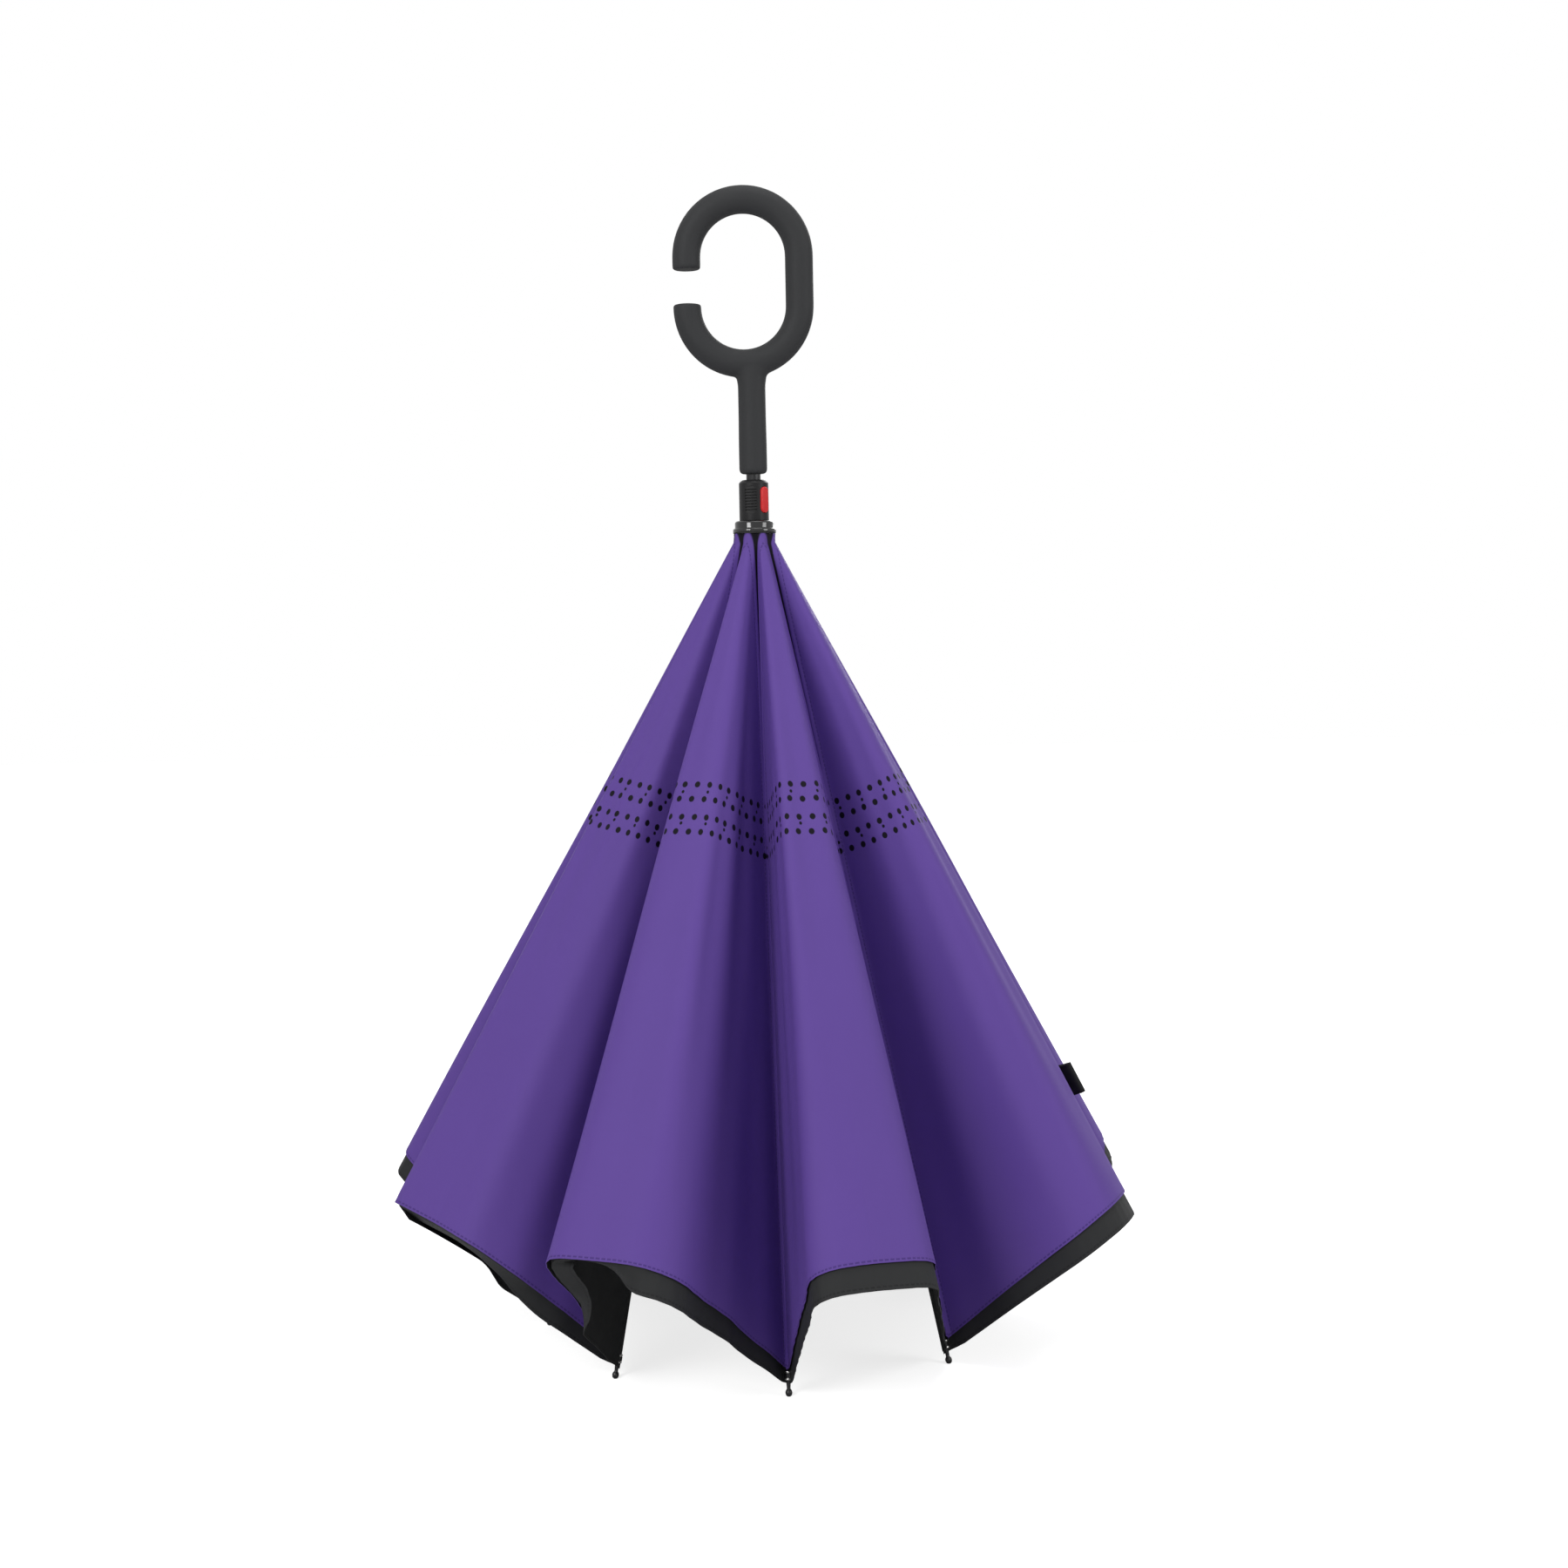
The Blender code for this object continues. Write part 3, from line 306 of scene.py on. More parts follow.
def stitch_group():
    """A row of stitches at a distance from an edge."""
    inputs = [(label, FLOAT) for label in ("Along", "Across", "Place", "Pitch", "Width")]
    tree, entry, leave = new_group("stitch row", inputs, [("Mask", FLOAT)])
    cycle = calc(tree, "FRACT", calc(tree, "DIVIDE", entry.outputs["Along"], entry.outputs["Pitch"]))
    off = calc(tree, "ABSOLUTE", calc(tree, "SUBTRACT", cycle, 0.5))
    dash = remap(tree, off, 0.30, 0.40, 1.0, 0.0)
    beside = calc(tree, "ABSOLUTE", calc(tree, "SUBTRACT", entry.outputs["Across"], entry.outputs["Place"]))
    band = calc(tree, "SUBTRACT", 1.0, calc(tree, "DIVIDE", beside, entry.outputs["Width"]), clamp=True)
    tree.links.new(calc(tree, "MULTIPLY", dash, band, clamp=True), leave.inputs["Mask"])
    return tree


# Air holes: each row's reach from the apex and its phase, and the rows of smaller holes between them
HOLE_ROWS = ((0.1985, 0.65), (0.2090, 0.90), (0.2220, 0.40), (0.2325, 0.65))
PIN_ROWS = ((0.2038, 0.10), (0.2265, 0.93))
HOLE_PITCH = 0.0090
HOLE_RADIUS = 0.00195
PIN_RADIUS = 0.00105
HOLE_LENGTHENING = 0.85


def holes_group():
    """Rows of air holes across the cloth, with smaller ones between the rows of each pair."""
    tree, entry, leave = new_group("air holes", [("Arc", FLOAT), ("Reach", FLOAT)], [("Mask", FLOAT)])
    mask = None
    rows = [(reach, phase, HOLE_PITCH, HOLE_RADIUS) for reach, phase in HOLE_ROWS]
    rows += [(reach, phase, HOLE_PITCH * 2, PIN_RADIUS) for reach, phase in PIN_ROWS]
    for reach, phase, pitch, radius in rows:
        turns = calc(tree, "MULTIPLY_ADD", entry.outputs["Arc"], reach / pitch, phase)
        dx = calc(tree, "MULTIPLY", calc(tree, "SUBTRACT", calc(tree, "FRACT", turns), 0.5), pitch)
        dy = calc(tree, "MULTIPLY", calc(tree, "SUBTRACT", entry.outputs["Reach"], reach), HOLE_LENGTHENING)
        apart = length_of(tree, dx, dy)
        spot = remap(tree, apart, radius * 0.86, radius * 1.06, 1.0, 0.0)
        mask = spot if mask is None else calc(tree, "MAXIMUM", mask, spot)
    tree.links.new(mask, leave.inputs["Mask"])
    return tree


weave = weave_group()
mottle = mottle_group()
stitches = stitch_group()
air_holes = holes_group()


def material(name, roughness, metallic=0.0, **extras):
    """A material with its shader, and the constant values that the shader keeps."""
    item = bpy.data.materials.new(name)
    item.use_nodes = True
    shader = item.node_tree.nodes["Principled BSDF"]
    shader.inputs["Roughness"].default_value = roughness
    shader.inputs["Metallic"].default_value = metallic
    for label, number in extras.items():
        shader.inputs[label.replace("_", " ")].default_value = number
    return item, item.node_tree, shader


def uv(tree, name):
    node = tree.nodes.new("ShaderNodeUVMap")
    node.uv_map = name
    return node.outputs[0]


def object_place(tree):
    return tree.nodes.new("ShaderNodeTexCoord").outputs["Object"]


def bump(tree, shader, height, strength, distance):
    node = tree.nodes.new("ShaderNodeBump")
    node.inputs["Strength"].default_value = strength
    node.inputs["Distance"].default_value = distance
    socket(tree, node.inputs["Height"], height)
    tree.links.new(node.outputs[0], shader.inputs["Normal"])


def toned(tree, colour, *tones):
    """A colour times one or more tones."""
    factor = tones[0]
    for tone in tones[1:]:
        factor = calc(tree, "MULTIPLY", factor, tone)
    node = tree.nodes.new("ShaderNodeVectorMath")
    node.operation = "SCALE"
    node.inputs[0].default_value = colour[:3]
    socket(tree, node.inputs["Scale"], factor)
    return node.outputs[0]


# Stitch rows: length of a stitch with its gap, half the thread's width, and for the seams their distance in
HEM_STITCH = (0.0038, 0.0009)
SEAM_STITCH = (0.0030, 0.0006)
SEAM_STITCH_PLACE = 0.0050
# Painted shade in each seam's valley: fully dark up to the first distance, and violet from the second on
SEAM_SHADE_EDGE = (0.0012, 0.0020)
# The dark of the air holes, also used for the painted shade along the seams
HOLES_AND_SEAM_SHADE = (0.004, 0.003, 0.007, 1.0)
# How far stitches are painted towards the shadow colour, for their darker thread and painted shade in their
# pits, and how deep stitches and holes are against the weave
STITCH_DARKNESS = 0.75
STITCH_DEPTH = 1.6
HOLE_DEPTH = 2.5


def cloth_material(name, colour, shadow, pitch, roughness, sheen, hem_stitch, holes=False):
    """Plain woven cloth, sewn along its hem and seams. The one with air holes has painted shade along its
    seams too.
    """
    item, tree, shader = material(name, roughness, Sheen_Weight=sheen, Sheen_Roughness=0.40,
                                  Specular_IOR_Level=0.12)
    shader.inputs["Sheen Tint"].default_value = (*[min(1.0, c * 2.6 + 0.1) for c in colour], 1.0)
    flat = uv(tree, "flat")
    polar = uv(tree, "polar")
    edges = uv(tree, "edges")
    threads = use_group(tree, weave, Vector=flat, Pitch=pitch)
    spots = use_group(tree, mottle, Vector=flat, Amount=0.10)
    base = toned(tree, colour, threads.outputs["Tone"], spots.outputs["Tone"])
    height = threads.outputs["Height"]
    arc, reach, _ = split(tree, polar)
    seam_gap, hem_gap, _ = split(tree, edges)
    row = use_group(tree, stitches, Along=calc(tree, "MULTIPLY", arc, reach), Across=hem_gap,
                    Place=hem_stitch, Pitch=HEM_STITCH[0], Width=HEM_STITCH[1])
    thread = use_group(tree, stitches, Along=reach, Across=seam_gap,
                       Place=SEAM_STITCH_PLACE, Pitch=SEAM_STITCH[0], Width=SEAM_STITCH[1])
    sewn = calc(tree, "MAXIMUM", row.outputs["Mask"], thread.outputs["Mask"])
    # Stitches painted darker: their thread, with painted shade in their pits
    base = mix_colour(tree, calc(tree, "MULTIPLY", sewn, STITCH_DARKNESS), base, (*shadow, 1.0))
    height = calc(tree, "SUBTRACT", height, calc(tree, "MULTIPLY", sewn, STITCH_DEPTH))
    if holes:
        open_spots = use_group(tree, air_holes, Arc=arc, Reach=reach)
        # Painted shade: the cloth is painted near-black along each seam, where the valley lies
        seam_shade = remap(tree, seam_gap, *SEAM_SHADE_EDGE, 1.0, 0.0)
        dark = calc(tree, "MAXIMUM", open_spots.outputs["Mask"], seam_shade, clamp=True)
        base = mix_colour(tree, dark, base, HOLES_AND_SEAM_SHADE)
        height = calc(tree, "SUBTRACT", height, calc(tree, "MULTIPLY", dark, HOLE_DEPTH))
    tree.links.new(base, shader.inputs["Base Color"])
    bump(tree, shader, height, 0.35, 0.00012)
    return item


def moulded_material(name, colour, roughness, grain, amount=0.12, **extras):
    """Moulded plastic or soft-touch coating, with a fine grain."""
    item, tree, shader = material(name, roughness, **extras)
    place = object_place(tree)
    spots = use_group(tree, mottle, Vector=place, Amount=amount)
    tree.links.new(toned(tree, colour, spots.outputs["Tone"]), shader.inputs["Base Color"])
    fine = noise(tree, place, grain, 2.0, 0.6)
    rough = remap(tree, fine, 0.3, 0.7, roughness * 0.88, roughness * 1.12)
    tree.links.new(rough, shader.inputs["Roughness"])
    bump(tree, shader, fine, 0.20, 0.00010)
    return item


# How finely drawn metal is lined across its length and along it
DRAWN_LINES = (400.0, 400.0, 60.0)


def metal_material(name, colour, roughness, metallic=1.0):
    """Drawn metal, with fine lines along its length."""
    item, tree, shader = material(name, roughness, metallic)
    place = tree.nodes.new("ShaderNodeMapping")
    place.inputs["Scale"].default_value = DRAWN_LINES
    tree.links.new(object_place(tree), place.inputs["Vector"])
    lines = noise(tree, place.outputs[0], 6.0, 3.0, 0.6)
    base = toned(tree, colour, remap(tree, lines, 0.3, 0.7, 0.92, 1.06))
    rough = remap(tree, lines, 0.3, 0.7, roughness * 0.8, roughness * 1.25)
    tree.links.new(base, shader.inputs["Base Color"])
    tree.links.new(rough, shader.inputs["Roughness"])
    bump(tree, shader, lines, 0.10, 0.00005)
    return item


violet_cloth = cloth_material(
    "violet pongee", (0.145, 0.080, 0.372), (0.050, 0.026, 0.150), 0.00032, 0.50, 0.06, 0.0016, holes=True)
black_cloth = cloth_material(
    "black pongee", (0.033, 0.034, 0.035), (0.016, 0.016, 0.017), 0.00034, 0.55, 0.04, 0.0022)
black_binding = cloth_material(
    "black webbing", (0.024, 0.024, 0.025), (0.012, 0.012, 0.012), 0.00055, 0.75, 0.05, 0.0012)
soft_touch = moulded_material(
    "charcoal soft-touch", (0.044, 0.045, 0.047), 0.60, 1400.0, Specular_IOR_Level=0.14)
black_plastic = moulded_material(
    "black moulded plastic", (0.016, 0.016, 0.017), 0.40, 900.0, Specular_IOR_Level=0.22)
gloss_plastic = moulded_material(
    "gloss black plastic", (0.010, 0.010, 0.011), 0.12, 500.0, 0.05, Coat_Weight=0.2, Coat_Roughness=0.04)
red_plastic = moulded_material(
    "red moulded plastic", (0.740, 0.030, 0.032), 0.34, 700.0, 0.06, Specular_IOR_Level=0.30)
plated_steel = metal_material("nickel plated steel", (0.720, 0.710, 0.690), 0.26)
painted_steel = metal_material("black painted tube", (0.022, 0.022, 0.024), 0.32, metallic=0.3)
black_rod = moulded_material("black enamelled rod", (0.016, 0.016, 0.017), 0.35, 800.0)


# The folded cloth

def azimuth_direction(azimuth):
    return Vector((math.sin(azimuth), -math.cos(azimuth), 0.0))


def rib_azimuth(index):
    return RIB_TURN + STEP * (index - FRONT_RIB)


def rib_vectors(index, angle):
    """Along a rib, and square to it on its cloth side."""
    out = azimuth_direction(rib_azimuth(index))
    along = out * math.sin(angle) - Vector((0, 0, 1)) * math.cos(angle)
    normal = out * math.cos(angle) + Vector((0, 0, 1)) * math.sin(angle)
    return along, normal


def rib_pivot(index):
    return azimuth_direction(rib_azimuth(index)) * PIVOT_RADIUS + Vector((0, 0, PIVOT_Z))


def seam_point(index, distance):
    along, normal = rib_vectors(index, CLOSED_ANGLE)
    return rib_pivot(index) + normal * SEAM_LIFT + along * distance


def seam_apex_distance():
    """Where on the rib the seams meet when the umbrella is open."""
    return -(PIVOT_RADIUS + SEAM_LIFT * math.cos(OPEN_ANGLE)) / math.sin(OPEN_ANGLE)


def fold_ridge(index, share, polar):
    azimuth = rib_azimuth(index) + STEP * share
    return azimuth_direction(azimuth) * math.sin(polar) - Vector((0, 0, 1)) * math.cos(polar)


def gore(index):
    """One gore as three panels between its seams, with its creases."""
    apex = seam_point(index, seam_apex_distance())
    next_apex = seam_point(index + 1, seam_apex_distance())
    near = rib_vectors(index, CLOSED_ANGLE)[0]
    far = (seam_point(index + 1, RIB_REACH) - apex).normalized()
    first_share, second_share, reach_share = FOLD_SHARES[index]
    whole = rib_vectors(0, OPEN_ANGLE)[0].angle(rib_vectors(1, OPEN_ANGLE)[0])
    low, high = CLOSED_ANGLE, math.pi / 2
    while high - low > 1e-9:
        polar = (low + high) / 2
        first = fold_ridge(index, first_share, polar)
        second = fold_ridge(index, second_share, CLOSED_ANGLE + (polar - CLOSED_ANGLE) * reach_share)
        girth = near.angle(first) + first.angle(second) + second.angle(far)
        low, high = (polar, high) if girth < whole else (low, polar)
    arcs = (near.angle(first), first.angle(second), second.angle(far))
    first_soft, second_soft = SOFT_SHARES[index]
    return {
        "index": index, "turn": index * RIPPLE_OFFSET, "apex": apex, "step": next_apex - apex,
        "near": near, "first": first, "second": second, "far": far,
        "arcs": arcs, "whole": sum(arcs), "length": RIB_REACH - seam_apex_distance(),
        "cuts": (min(arcs[0], arcs[1]) / 2 * first_soft, min(arcs[1], arcs[2]) / 2 * second_soft),
    }


def corner(start, ridge, end, share):
    """A direction on the rounding that leads over a ridge."""
    bend = start * (1 - share) ** 2 + ridge * (2 * share * (1 - share)) + end * share ** 2
    return bend.normalized()


def fold_direction(shape, arc):
    """The direction from the apex to the folded cloth at an arc across the gore."""
    near_arc, middle_arc, far_arc = shape["arcs"]
    first_cut, second_cut = shape["cuts"]
    near, first, second, far = shape["near"], shape["first"], shape["second"], shape["far"]
    if arc < near_arc - first_cut:
        return near.slerp(first, arc / near_arc)
    if arc < near_arc + first_cut:
        share = (arc - near_arc + first_cut) / (2 * first_cut)
        return corner(near.slerp(first, 1 - first_cut / near_arc), first,
                      first.slerp(second, first_cut / middle_arc), share)
    if arc < near_arc + middle_arc - second_cut:
        return first.slerp(second, (arc - near_arc) / middle_arc)
    if arc < near_arc + middle_arc + second_cut:
        share = (arc - near_arc - middle_arc + second_cut) / (2 * second_cut)
        return corner(first.slerp(second, 1 - second_cut / middle_arc), second,
                      second.slerp(far, second_cut / far_arc), share)
    return second.slerp(far, (arc - near_arc - middle_arc) / far_arc)


def hem_distance(shape, arc):
    """How far from the apex the violet canopy's hollow hem runs."""
    whole = shape["whole"]
    off_centre = arc - whole / 2
    straight = (shape["length"] - HEM_SETBACK) * math.cos(whole / 2) / math.cos(off_centre)
    return straight - HEM_HOLLOW * (1 - (2 * off_centre / whole) ** 2)


def band_distance(shape, arc):
    """How far past that hem the black canopy reaches."""
    return HEM_BAND + (HEM_BAND_TIP - HEM_BAND) * (2 * arc / shape["whole"] - 1) ** 2


def cloth_point(shape, distance, arc):
    """A point on the cloth's middle surface, which stays outside the runner's neck."""
    slide = (1 - distance / shape["length"]) * arc / shape["whole"]
    point = shape["apex"] + fold_direction(shape, arc) * distance + shape["step"] * slide
    radius = math.hypot(point.x, point.y)
    if radius < NECK_RADIUS:
        point.x *= NECK_RADIUS / radius
        point.y *= NECK_RADIUS / radius
    return point


def cloth_layer(shape, distance, arc, lift):
    """A point at a height over the cloth's middle surface, outwards."""
    nudge = shape["whole"] / 400
    centre = cloth_point(shape, distance, arc)
    across = cloth_point(shape, distance, arc + nudge) - cloth_point(shape, distance, arc - nudge)
    down = cloth_point(shape, distance + shape["length"] / 200, arc) - centre
    return centre + down.cross(across).normalized() * lift


def smooth(value):
    """A soft step from 0 to 1."""
    value = min(max(value, 0.0), 1.0)
    return value * value * (3 - 2 * value)


def seam_gap(shape, distance, arc):
    """How far a point is from the nearer seam."""
    return distance * min(arc, shape["whole"] - arc)


def violet_lift(shape, distance, arc):
    """The violet cloth rolls up beside each seam, is gathered at the neck and hem, and ripples."""
    gap = seam_gap(shape, distance, arc)
    to_hem = hem_distance(shape, arc) - distance
    turn = shape["turn"]
    roll = SEAM_ROLL * math.exp(-((gap - SEAM_ROLL_PLACE) / SEAM_ROLL_WIDTH) ** 2)
    roll *= smooth(distance / SEAM_ROLL_GROWTH)
    calm = smooth(gap / CALM_BY_SEAM) * smooth((distance - CALM_TO) / CALM_GROWTH)
    wave = math.sin(distance * RIPPLES_ALONG + arc * RIPPLE_SLANT + turn)
    ripple = RIPPLE_HEIGHT * math.sin(arc * RIPPLES_ACROSS + turn) * wave * calm
    drawn = 1 - smooth(to_hem / PUCKER_REACH)
    pucker = PUCKER_HEIGHT * math.sin(arc * distance * PUCKERS_ACROSS) * drawn * calm
    gather = NECK_GATHER * (1 - smooth((distance - CANOPY_START) / NECK_GATHER_REACH))
    return roll + ripple + pucker + gather


def black_lift(shape, distance, arc):
    """The black cloth lies behind the violet one, and ripples with it near the hem."""
    hem = hem_distance(shape, arc)
    behind = -BLACK_DEPTH * smooth(seam_gap(shape, distance, arc) / BLACK_DEPTH_GROWTH)
    bound = violet_lift(shape, min(distance, hem), arc)
    return behind + bound * smooth(1 - (hem - distance) / BLACK_BOUND_REACH)


def behind_rib(shape, distance, arc):
    """How the black cloth passes behind the rib at each of its seams."""
    index = shape["index"] + (1 if arc > shape["whole"] / 2 else 0)
    nearness = smooth((BEHIND_RIB_REACH - seam_gap(shape, distance, arc)) / BEHIND_RIB_GROWTH)
    return rib_vectors(index, CLOSED_ANGLE)[1] * (-BEHIND_RIB_DEPTH * nearness)


def seam_pleat(shape, distance):
    """How deep the violet cloth is turned in along its far seam. It covers the seam of the open canopy."""
    deep = PLEAT_DEPTH * (1 - distance / shape["length"]) + PLEAT_HEM_DEPTH
    return deep * smooth((distance - PLEAT_START) / PLEAT_GROWTH)


def curl(shape, arc):
    """How far the black band turns under, in radians."""
    if shape["index"] not in BAND_CURLS:
        return 0.0
    start, end, angle = BAND_CURLS[shape["index"]]
    near_arc, middle_arc, _ = shape["arcs"]
    begun = smooth((arc - near_arc * start) / CURL_GROWTH)
    return angle * begun * smooth((near_arc + middle_arc * end - arc) / CURL_DECLINE)


def arc_columns(shape, start, end):
    """Where across the gore the mesh has its columns, closer together beside a seam."""
    low = [start + step for step in SEAM_COLUMNS] if start == 0.0 else [start]
    high = [end - step for step in reversed(SEAM_COLUMNS)] if end == shape["whole"] else [end]
    count = max(2, round((high[0] - low[-1]) / COLUMN_PITCH))
    between = [low[-1] + (high[0] - low[-1]) * i / count for i in range(1, count)]
    return low + between + high


# Cloth sheets

def select_only(obj):
    bpy.ops.object.select_all(action="DESELECT")
    obj.select_set(True)
    bpy.context.view_layer.objects.active = obj


def apply_modifier(obj, kind, **values):
    added = obj.modifiers.new("shaping", kind)
    for label, value in values.items():
        setattr(added, label, value)
    select_only(obj)
    bpy.ops.object.modifier_apply(modifier=added.name)


def woven_mesh(name, rows, thickness, materials):
    """A sheet through rows of points, each with its place in the maps that the cloth materials read."""
    bm = bmesh.new()
    maps = [bm.loops.layers.uv.new(label) for label in ("flat", "polar", "edges")]
    places = {}
    grid = []
    for row in rows:
        line = []
        for point, place in row:
            vert = bm.verts.new(point)
            places[vert] = place
            line.append(vert)
        grid.append(line)
    for upper, lower in zip(grid, grid[1:]):
        for j in range(len(upper) - 1):
            face = bm.faces.new((upper[j], lower[j], lower[j + 1], upper[j + 1]))
            face.smooth = True
            for loop in face.loops:
                for layer, place in zip(maps, places[loop.vert]):
                    loop[layer].uv = place
    mesh = bpy.data.meshes.new(name)
    bm.to_mesh(mesh)
    bm.free()
    obj = bpy.data.objects.new(name, mesh)
    bpy.context.collection.objects.link(obj)
    for item in materials:
        mesh.materials.append(item)
    apply_modifier(obj, "SOLIDIFY", thickness=thickness, offset=0.0, material_offset=len(materials) - 1)
    bpy.ops.object.shade_smooth_by_angle(angle=math.radians(50))
    return obj


def cloth_sheet(name, shape, arcs, start, hem, lift, rows, thickness, materials, pleat=0, tuck=None):
    """A sheet of cloth between two arcs, from a level start to its hem, with any pleat past the last arc."""
    grid = []
    for i in range(rows + 1):
        line = []
        for column in range(len(arcs) + pleat):
            arc = arcs[min(column, len(arcs) - 1)]
            end = hem(shape, arc)
            distance = start + (end - start) * (i / rows)
            beyond = max(distance - hem_distance(shape, arc), 0.0)
            turned = curl(shape, arc)
            reach = distance - beyond * (1 - math.cos(turned))
            sunk = lift(shape, distance, arc) - beyond * math.sin(turned)
            if column >= len(arcs):
                turned_in = (column + 1 - len(arcs)) / pleat
                sunk -= seam_pleat(shape, distance) * turned_in
                arc += PLEAT_LEAN * turned_in / distance
            point = cloth_layer(shape, reach, arc, sunk)
            if tuck:
                point += tuck(shape, distance, arc)
            centred = arc - shape["whole"] / 2
            flat = (distance * math.sin(centred), distance * math.cos(centred))
            edges = (seam_gap(shape, distance, arc), end - distance)
            line.append((point, (flat, (centred, distance), edges)))
        grid.append(line)
    return woven_mesh(name, grid, thickness, materials)


def crease_span(shape, before, crease, after):
    """The two points between which cloth turns about a crease."""
    into_before = (before - crease * before.dot(crease)).normalized()
    into_after = (after - crease * after.dot(crease)).normalized()
    way = (into_after - into_before).normalized() * CREASE_HALF_WIDTH
    return shape["apex"] - way, shape["apex"] + way


def black_hem(shape, arc):
    return hem_distance(shape, arc) + band_distance(shape, arc)


def strip(name, points, thickness):
    """A narrow woven strip through rows of points, and how long it is."""
    grid = []
    run = 0.0
    for i, row in enumerate(points):
        if i:
            run += ((row[0] - points[i - 1][0]).length + (row[-1] - points[i - 1][-1]).length) / 2
        side = 0.0
        wide = sum((b - a).length for a, b in zip(row, row[1:]))
        line = []
        for j, point in enumerate(row):
            if j:
                side += (point - row[j - 1]).length
            gap = min(side, wide - side)
            line.append((point, ((side, run), (run, 1.0), (gap + 1.0, gap))))
        grid.append(line)
    return woven_mesh(name, grid, thickness, (black_binding,)), run


def build_seam_tape(index):
    """The tape that covers the turned edges of a seam, on the inside."""
    shape = gore(index)
    number = index + 1
    whole = shape["whole"]
    end = hem_distance(shape, whole) * TAPE_END_SHARE
    insets = [TAPE_INSET + TAPE_WIDTH * j / TAPE_COLUMNS for j in range(TAPE_COLUMNS + 1)]
    points = []
    for i in range(TAPE_ROWS + 1):
        distance = TAPE_START + (end - TAPE_START) * i / TAPE_ROWS
        arcs = [whole - inset / distance for inset in insets]
        points.append([cloth_layer(shape, distance, arc, -TAPE_DEPTH) for arc in arcs])
    tape, _ = strip(f"tape_{number}", points, TAPE_THICKNESS)
    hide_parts(f"seam_tape_{number}")
    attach(tape, f"gore_{number}_far")
    return tape


def build_gore(index):
    """The violet and the black cloth of one gore, each in two pieces that meet in its middle panel."""
    shape = gore(index)
    number = index + 1
    near_arc, middle_arc, _ = shape["arcs"]
    middle = near_arc + middle_arc / 2
    near_span = crease_span(shape, shape["near"], shape["first"], shape["second"])
    far_span = crease_span(shape, shape["first"], shape["second"], shape["far"])
    near_arcs = arc_columns(shape, 0.0, middle)
    far_arcs = arc_columns(shape, middle, shape["whole"])
    bodies = [f"gore_{number}_{part}" for part in ("near", "mid", "far")]
    tape = build_seam_tape(index)
    for side, arcs, pair, span, pleat, taped in (
            ("near", near_arcs, bodies[:2], near_span, 0, []),
            ("far", far_arcs, bodies[1:], far_span, PLEAT_COLUMNS, [tape])):
        violet = cloth_sheet(f"violet_gore_{number}_{side}", shape, arcs, CANOPY_START, hem_distance,
                             violet_lift, VIOLET_ROWS, VIOLET_THICKNESS, (violet_cloth, black_cloth), pleat)
        black = cloth_sheet(f"black_gore_{number}_{side}", shape, arcs, BLACK_START, black_hem,
                            black_lift, BLACK_ROWS, BLACK_THICKNESS, (black_cloth,), tuck=behind_rib)
        for obj, node, slot_name, (width, length), trim in (
                (violet, f"inner_gore_{number}", "violet_cloth", VIOLET_FLAT, taped),
                (black, f"outer_gore_{number}", "black_cloth", BLACK_FLAT, [])):
            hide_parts(node)
            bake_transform(obj)


# Shaping by hand

def apply_place(obj):
    """Put a piece's place, turn and size into its mesh."""
    select_only(obj)
    bpy.ops.object.transform_apply(location=True, rotation=True, scale=True)


def edit_where(obj, chosen, kind="VERT"):
    """Open a piece with only the points chosen by their place selected."""
    select_only(obj)
    bpy.ops.object.mode_set(mode="EDIT")
    bpy.ops.mesh.select_mode(type="VERT")
    bpy.ops.mesh.select_all(action="DESELECT")
    bm = bmesh.from_edit_mesh(obj.data)
    for vert in bm.verts:
        vert.select_set(chosen(vert.co))
    bm.select_flush_mode()
    bmesh.update_edit_mesh(obj.data)
    bpy.ops.mesh.select_mode(type=kind)


def close_up():
    """Merge what lies together and turn all faces outwards, in edit mode."""
    bpy.ops.mesh.select_all(action="SELECT")
    bpy.ops.mesh.remove_doubles(threshold=0.000002)
    bpy.ops.mesh.normals_make_consistent(inside=False)


def finish_piece(obj, name, item, body, *replaced, angle=35):
    """Name a finished piece, give it its finish, and let it ride."""
    obj.name = name
    obj.data.name = name
    obj.data.materials.clear()
    obj.data.materials.append(item)
    select_only(obj)
    bpy.ops.object.shade_smooth_by_angle(angle=math.radians(angle))
    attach(obj, body)
    if replaced:
        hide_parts(*replaced)


def cut_or_join(obj, tool, operation):
    """Cut another shape out of a piece, or join it to it."""
    apply_modifier(obj, "BOOLEAN", operation=operation, object=tool, solver="EXACT")
    bpy.data.objects.remove(tool)


def turned_piece(profile, segments, bored=False):
    """A turned shape: a circle extruded from one (radius, height) to the next, and round again if bored."""
    radius, height = profile[0]
    bpy.ops.object.select_all(action="DESELECT")
    bpy.ops.mesh.primitive_circle_add(vertices=segments, radius=radius, location=(0, 0, height),
                                      fill_type="NOTHING" if bored else "NGON")
    obj = bpy.context.active_object
    apply_place(obj)
    bpy.ops.object.mode_set(mode="EDIT")
    bpy.ops.mesh.select_all(action="SELECT")
    for next_radius, next_height in profile[1:] + (profile[:1] if bored else []):
        rise = {"value": (0, 0, next_height - height)}
        if bored:
            bpy.ops.mesh.extrude_edges_move(TRANSFORM_OT_translate=rise)
        else:
            bpy.ops.mesh.extrude_region_move(TRANSFORM_OT_translate=rise)
        share = next_radius / radius
        bpy.ops.transform.resize(value=(share, share, 1), center_override=(0, 0, next_height))
        radius, height = next_radius, next_height
    close_up()
    bpy.ops.object.mode_set(mode="OBJECT")
    return obj


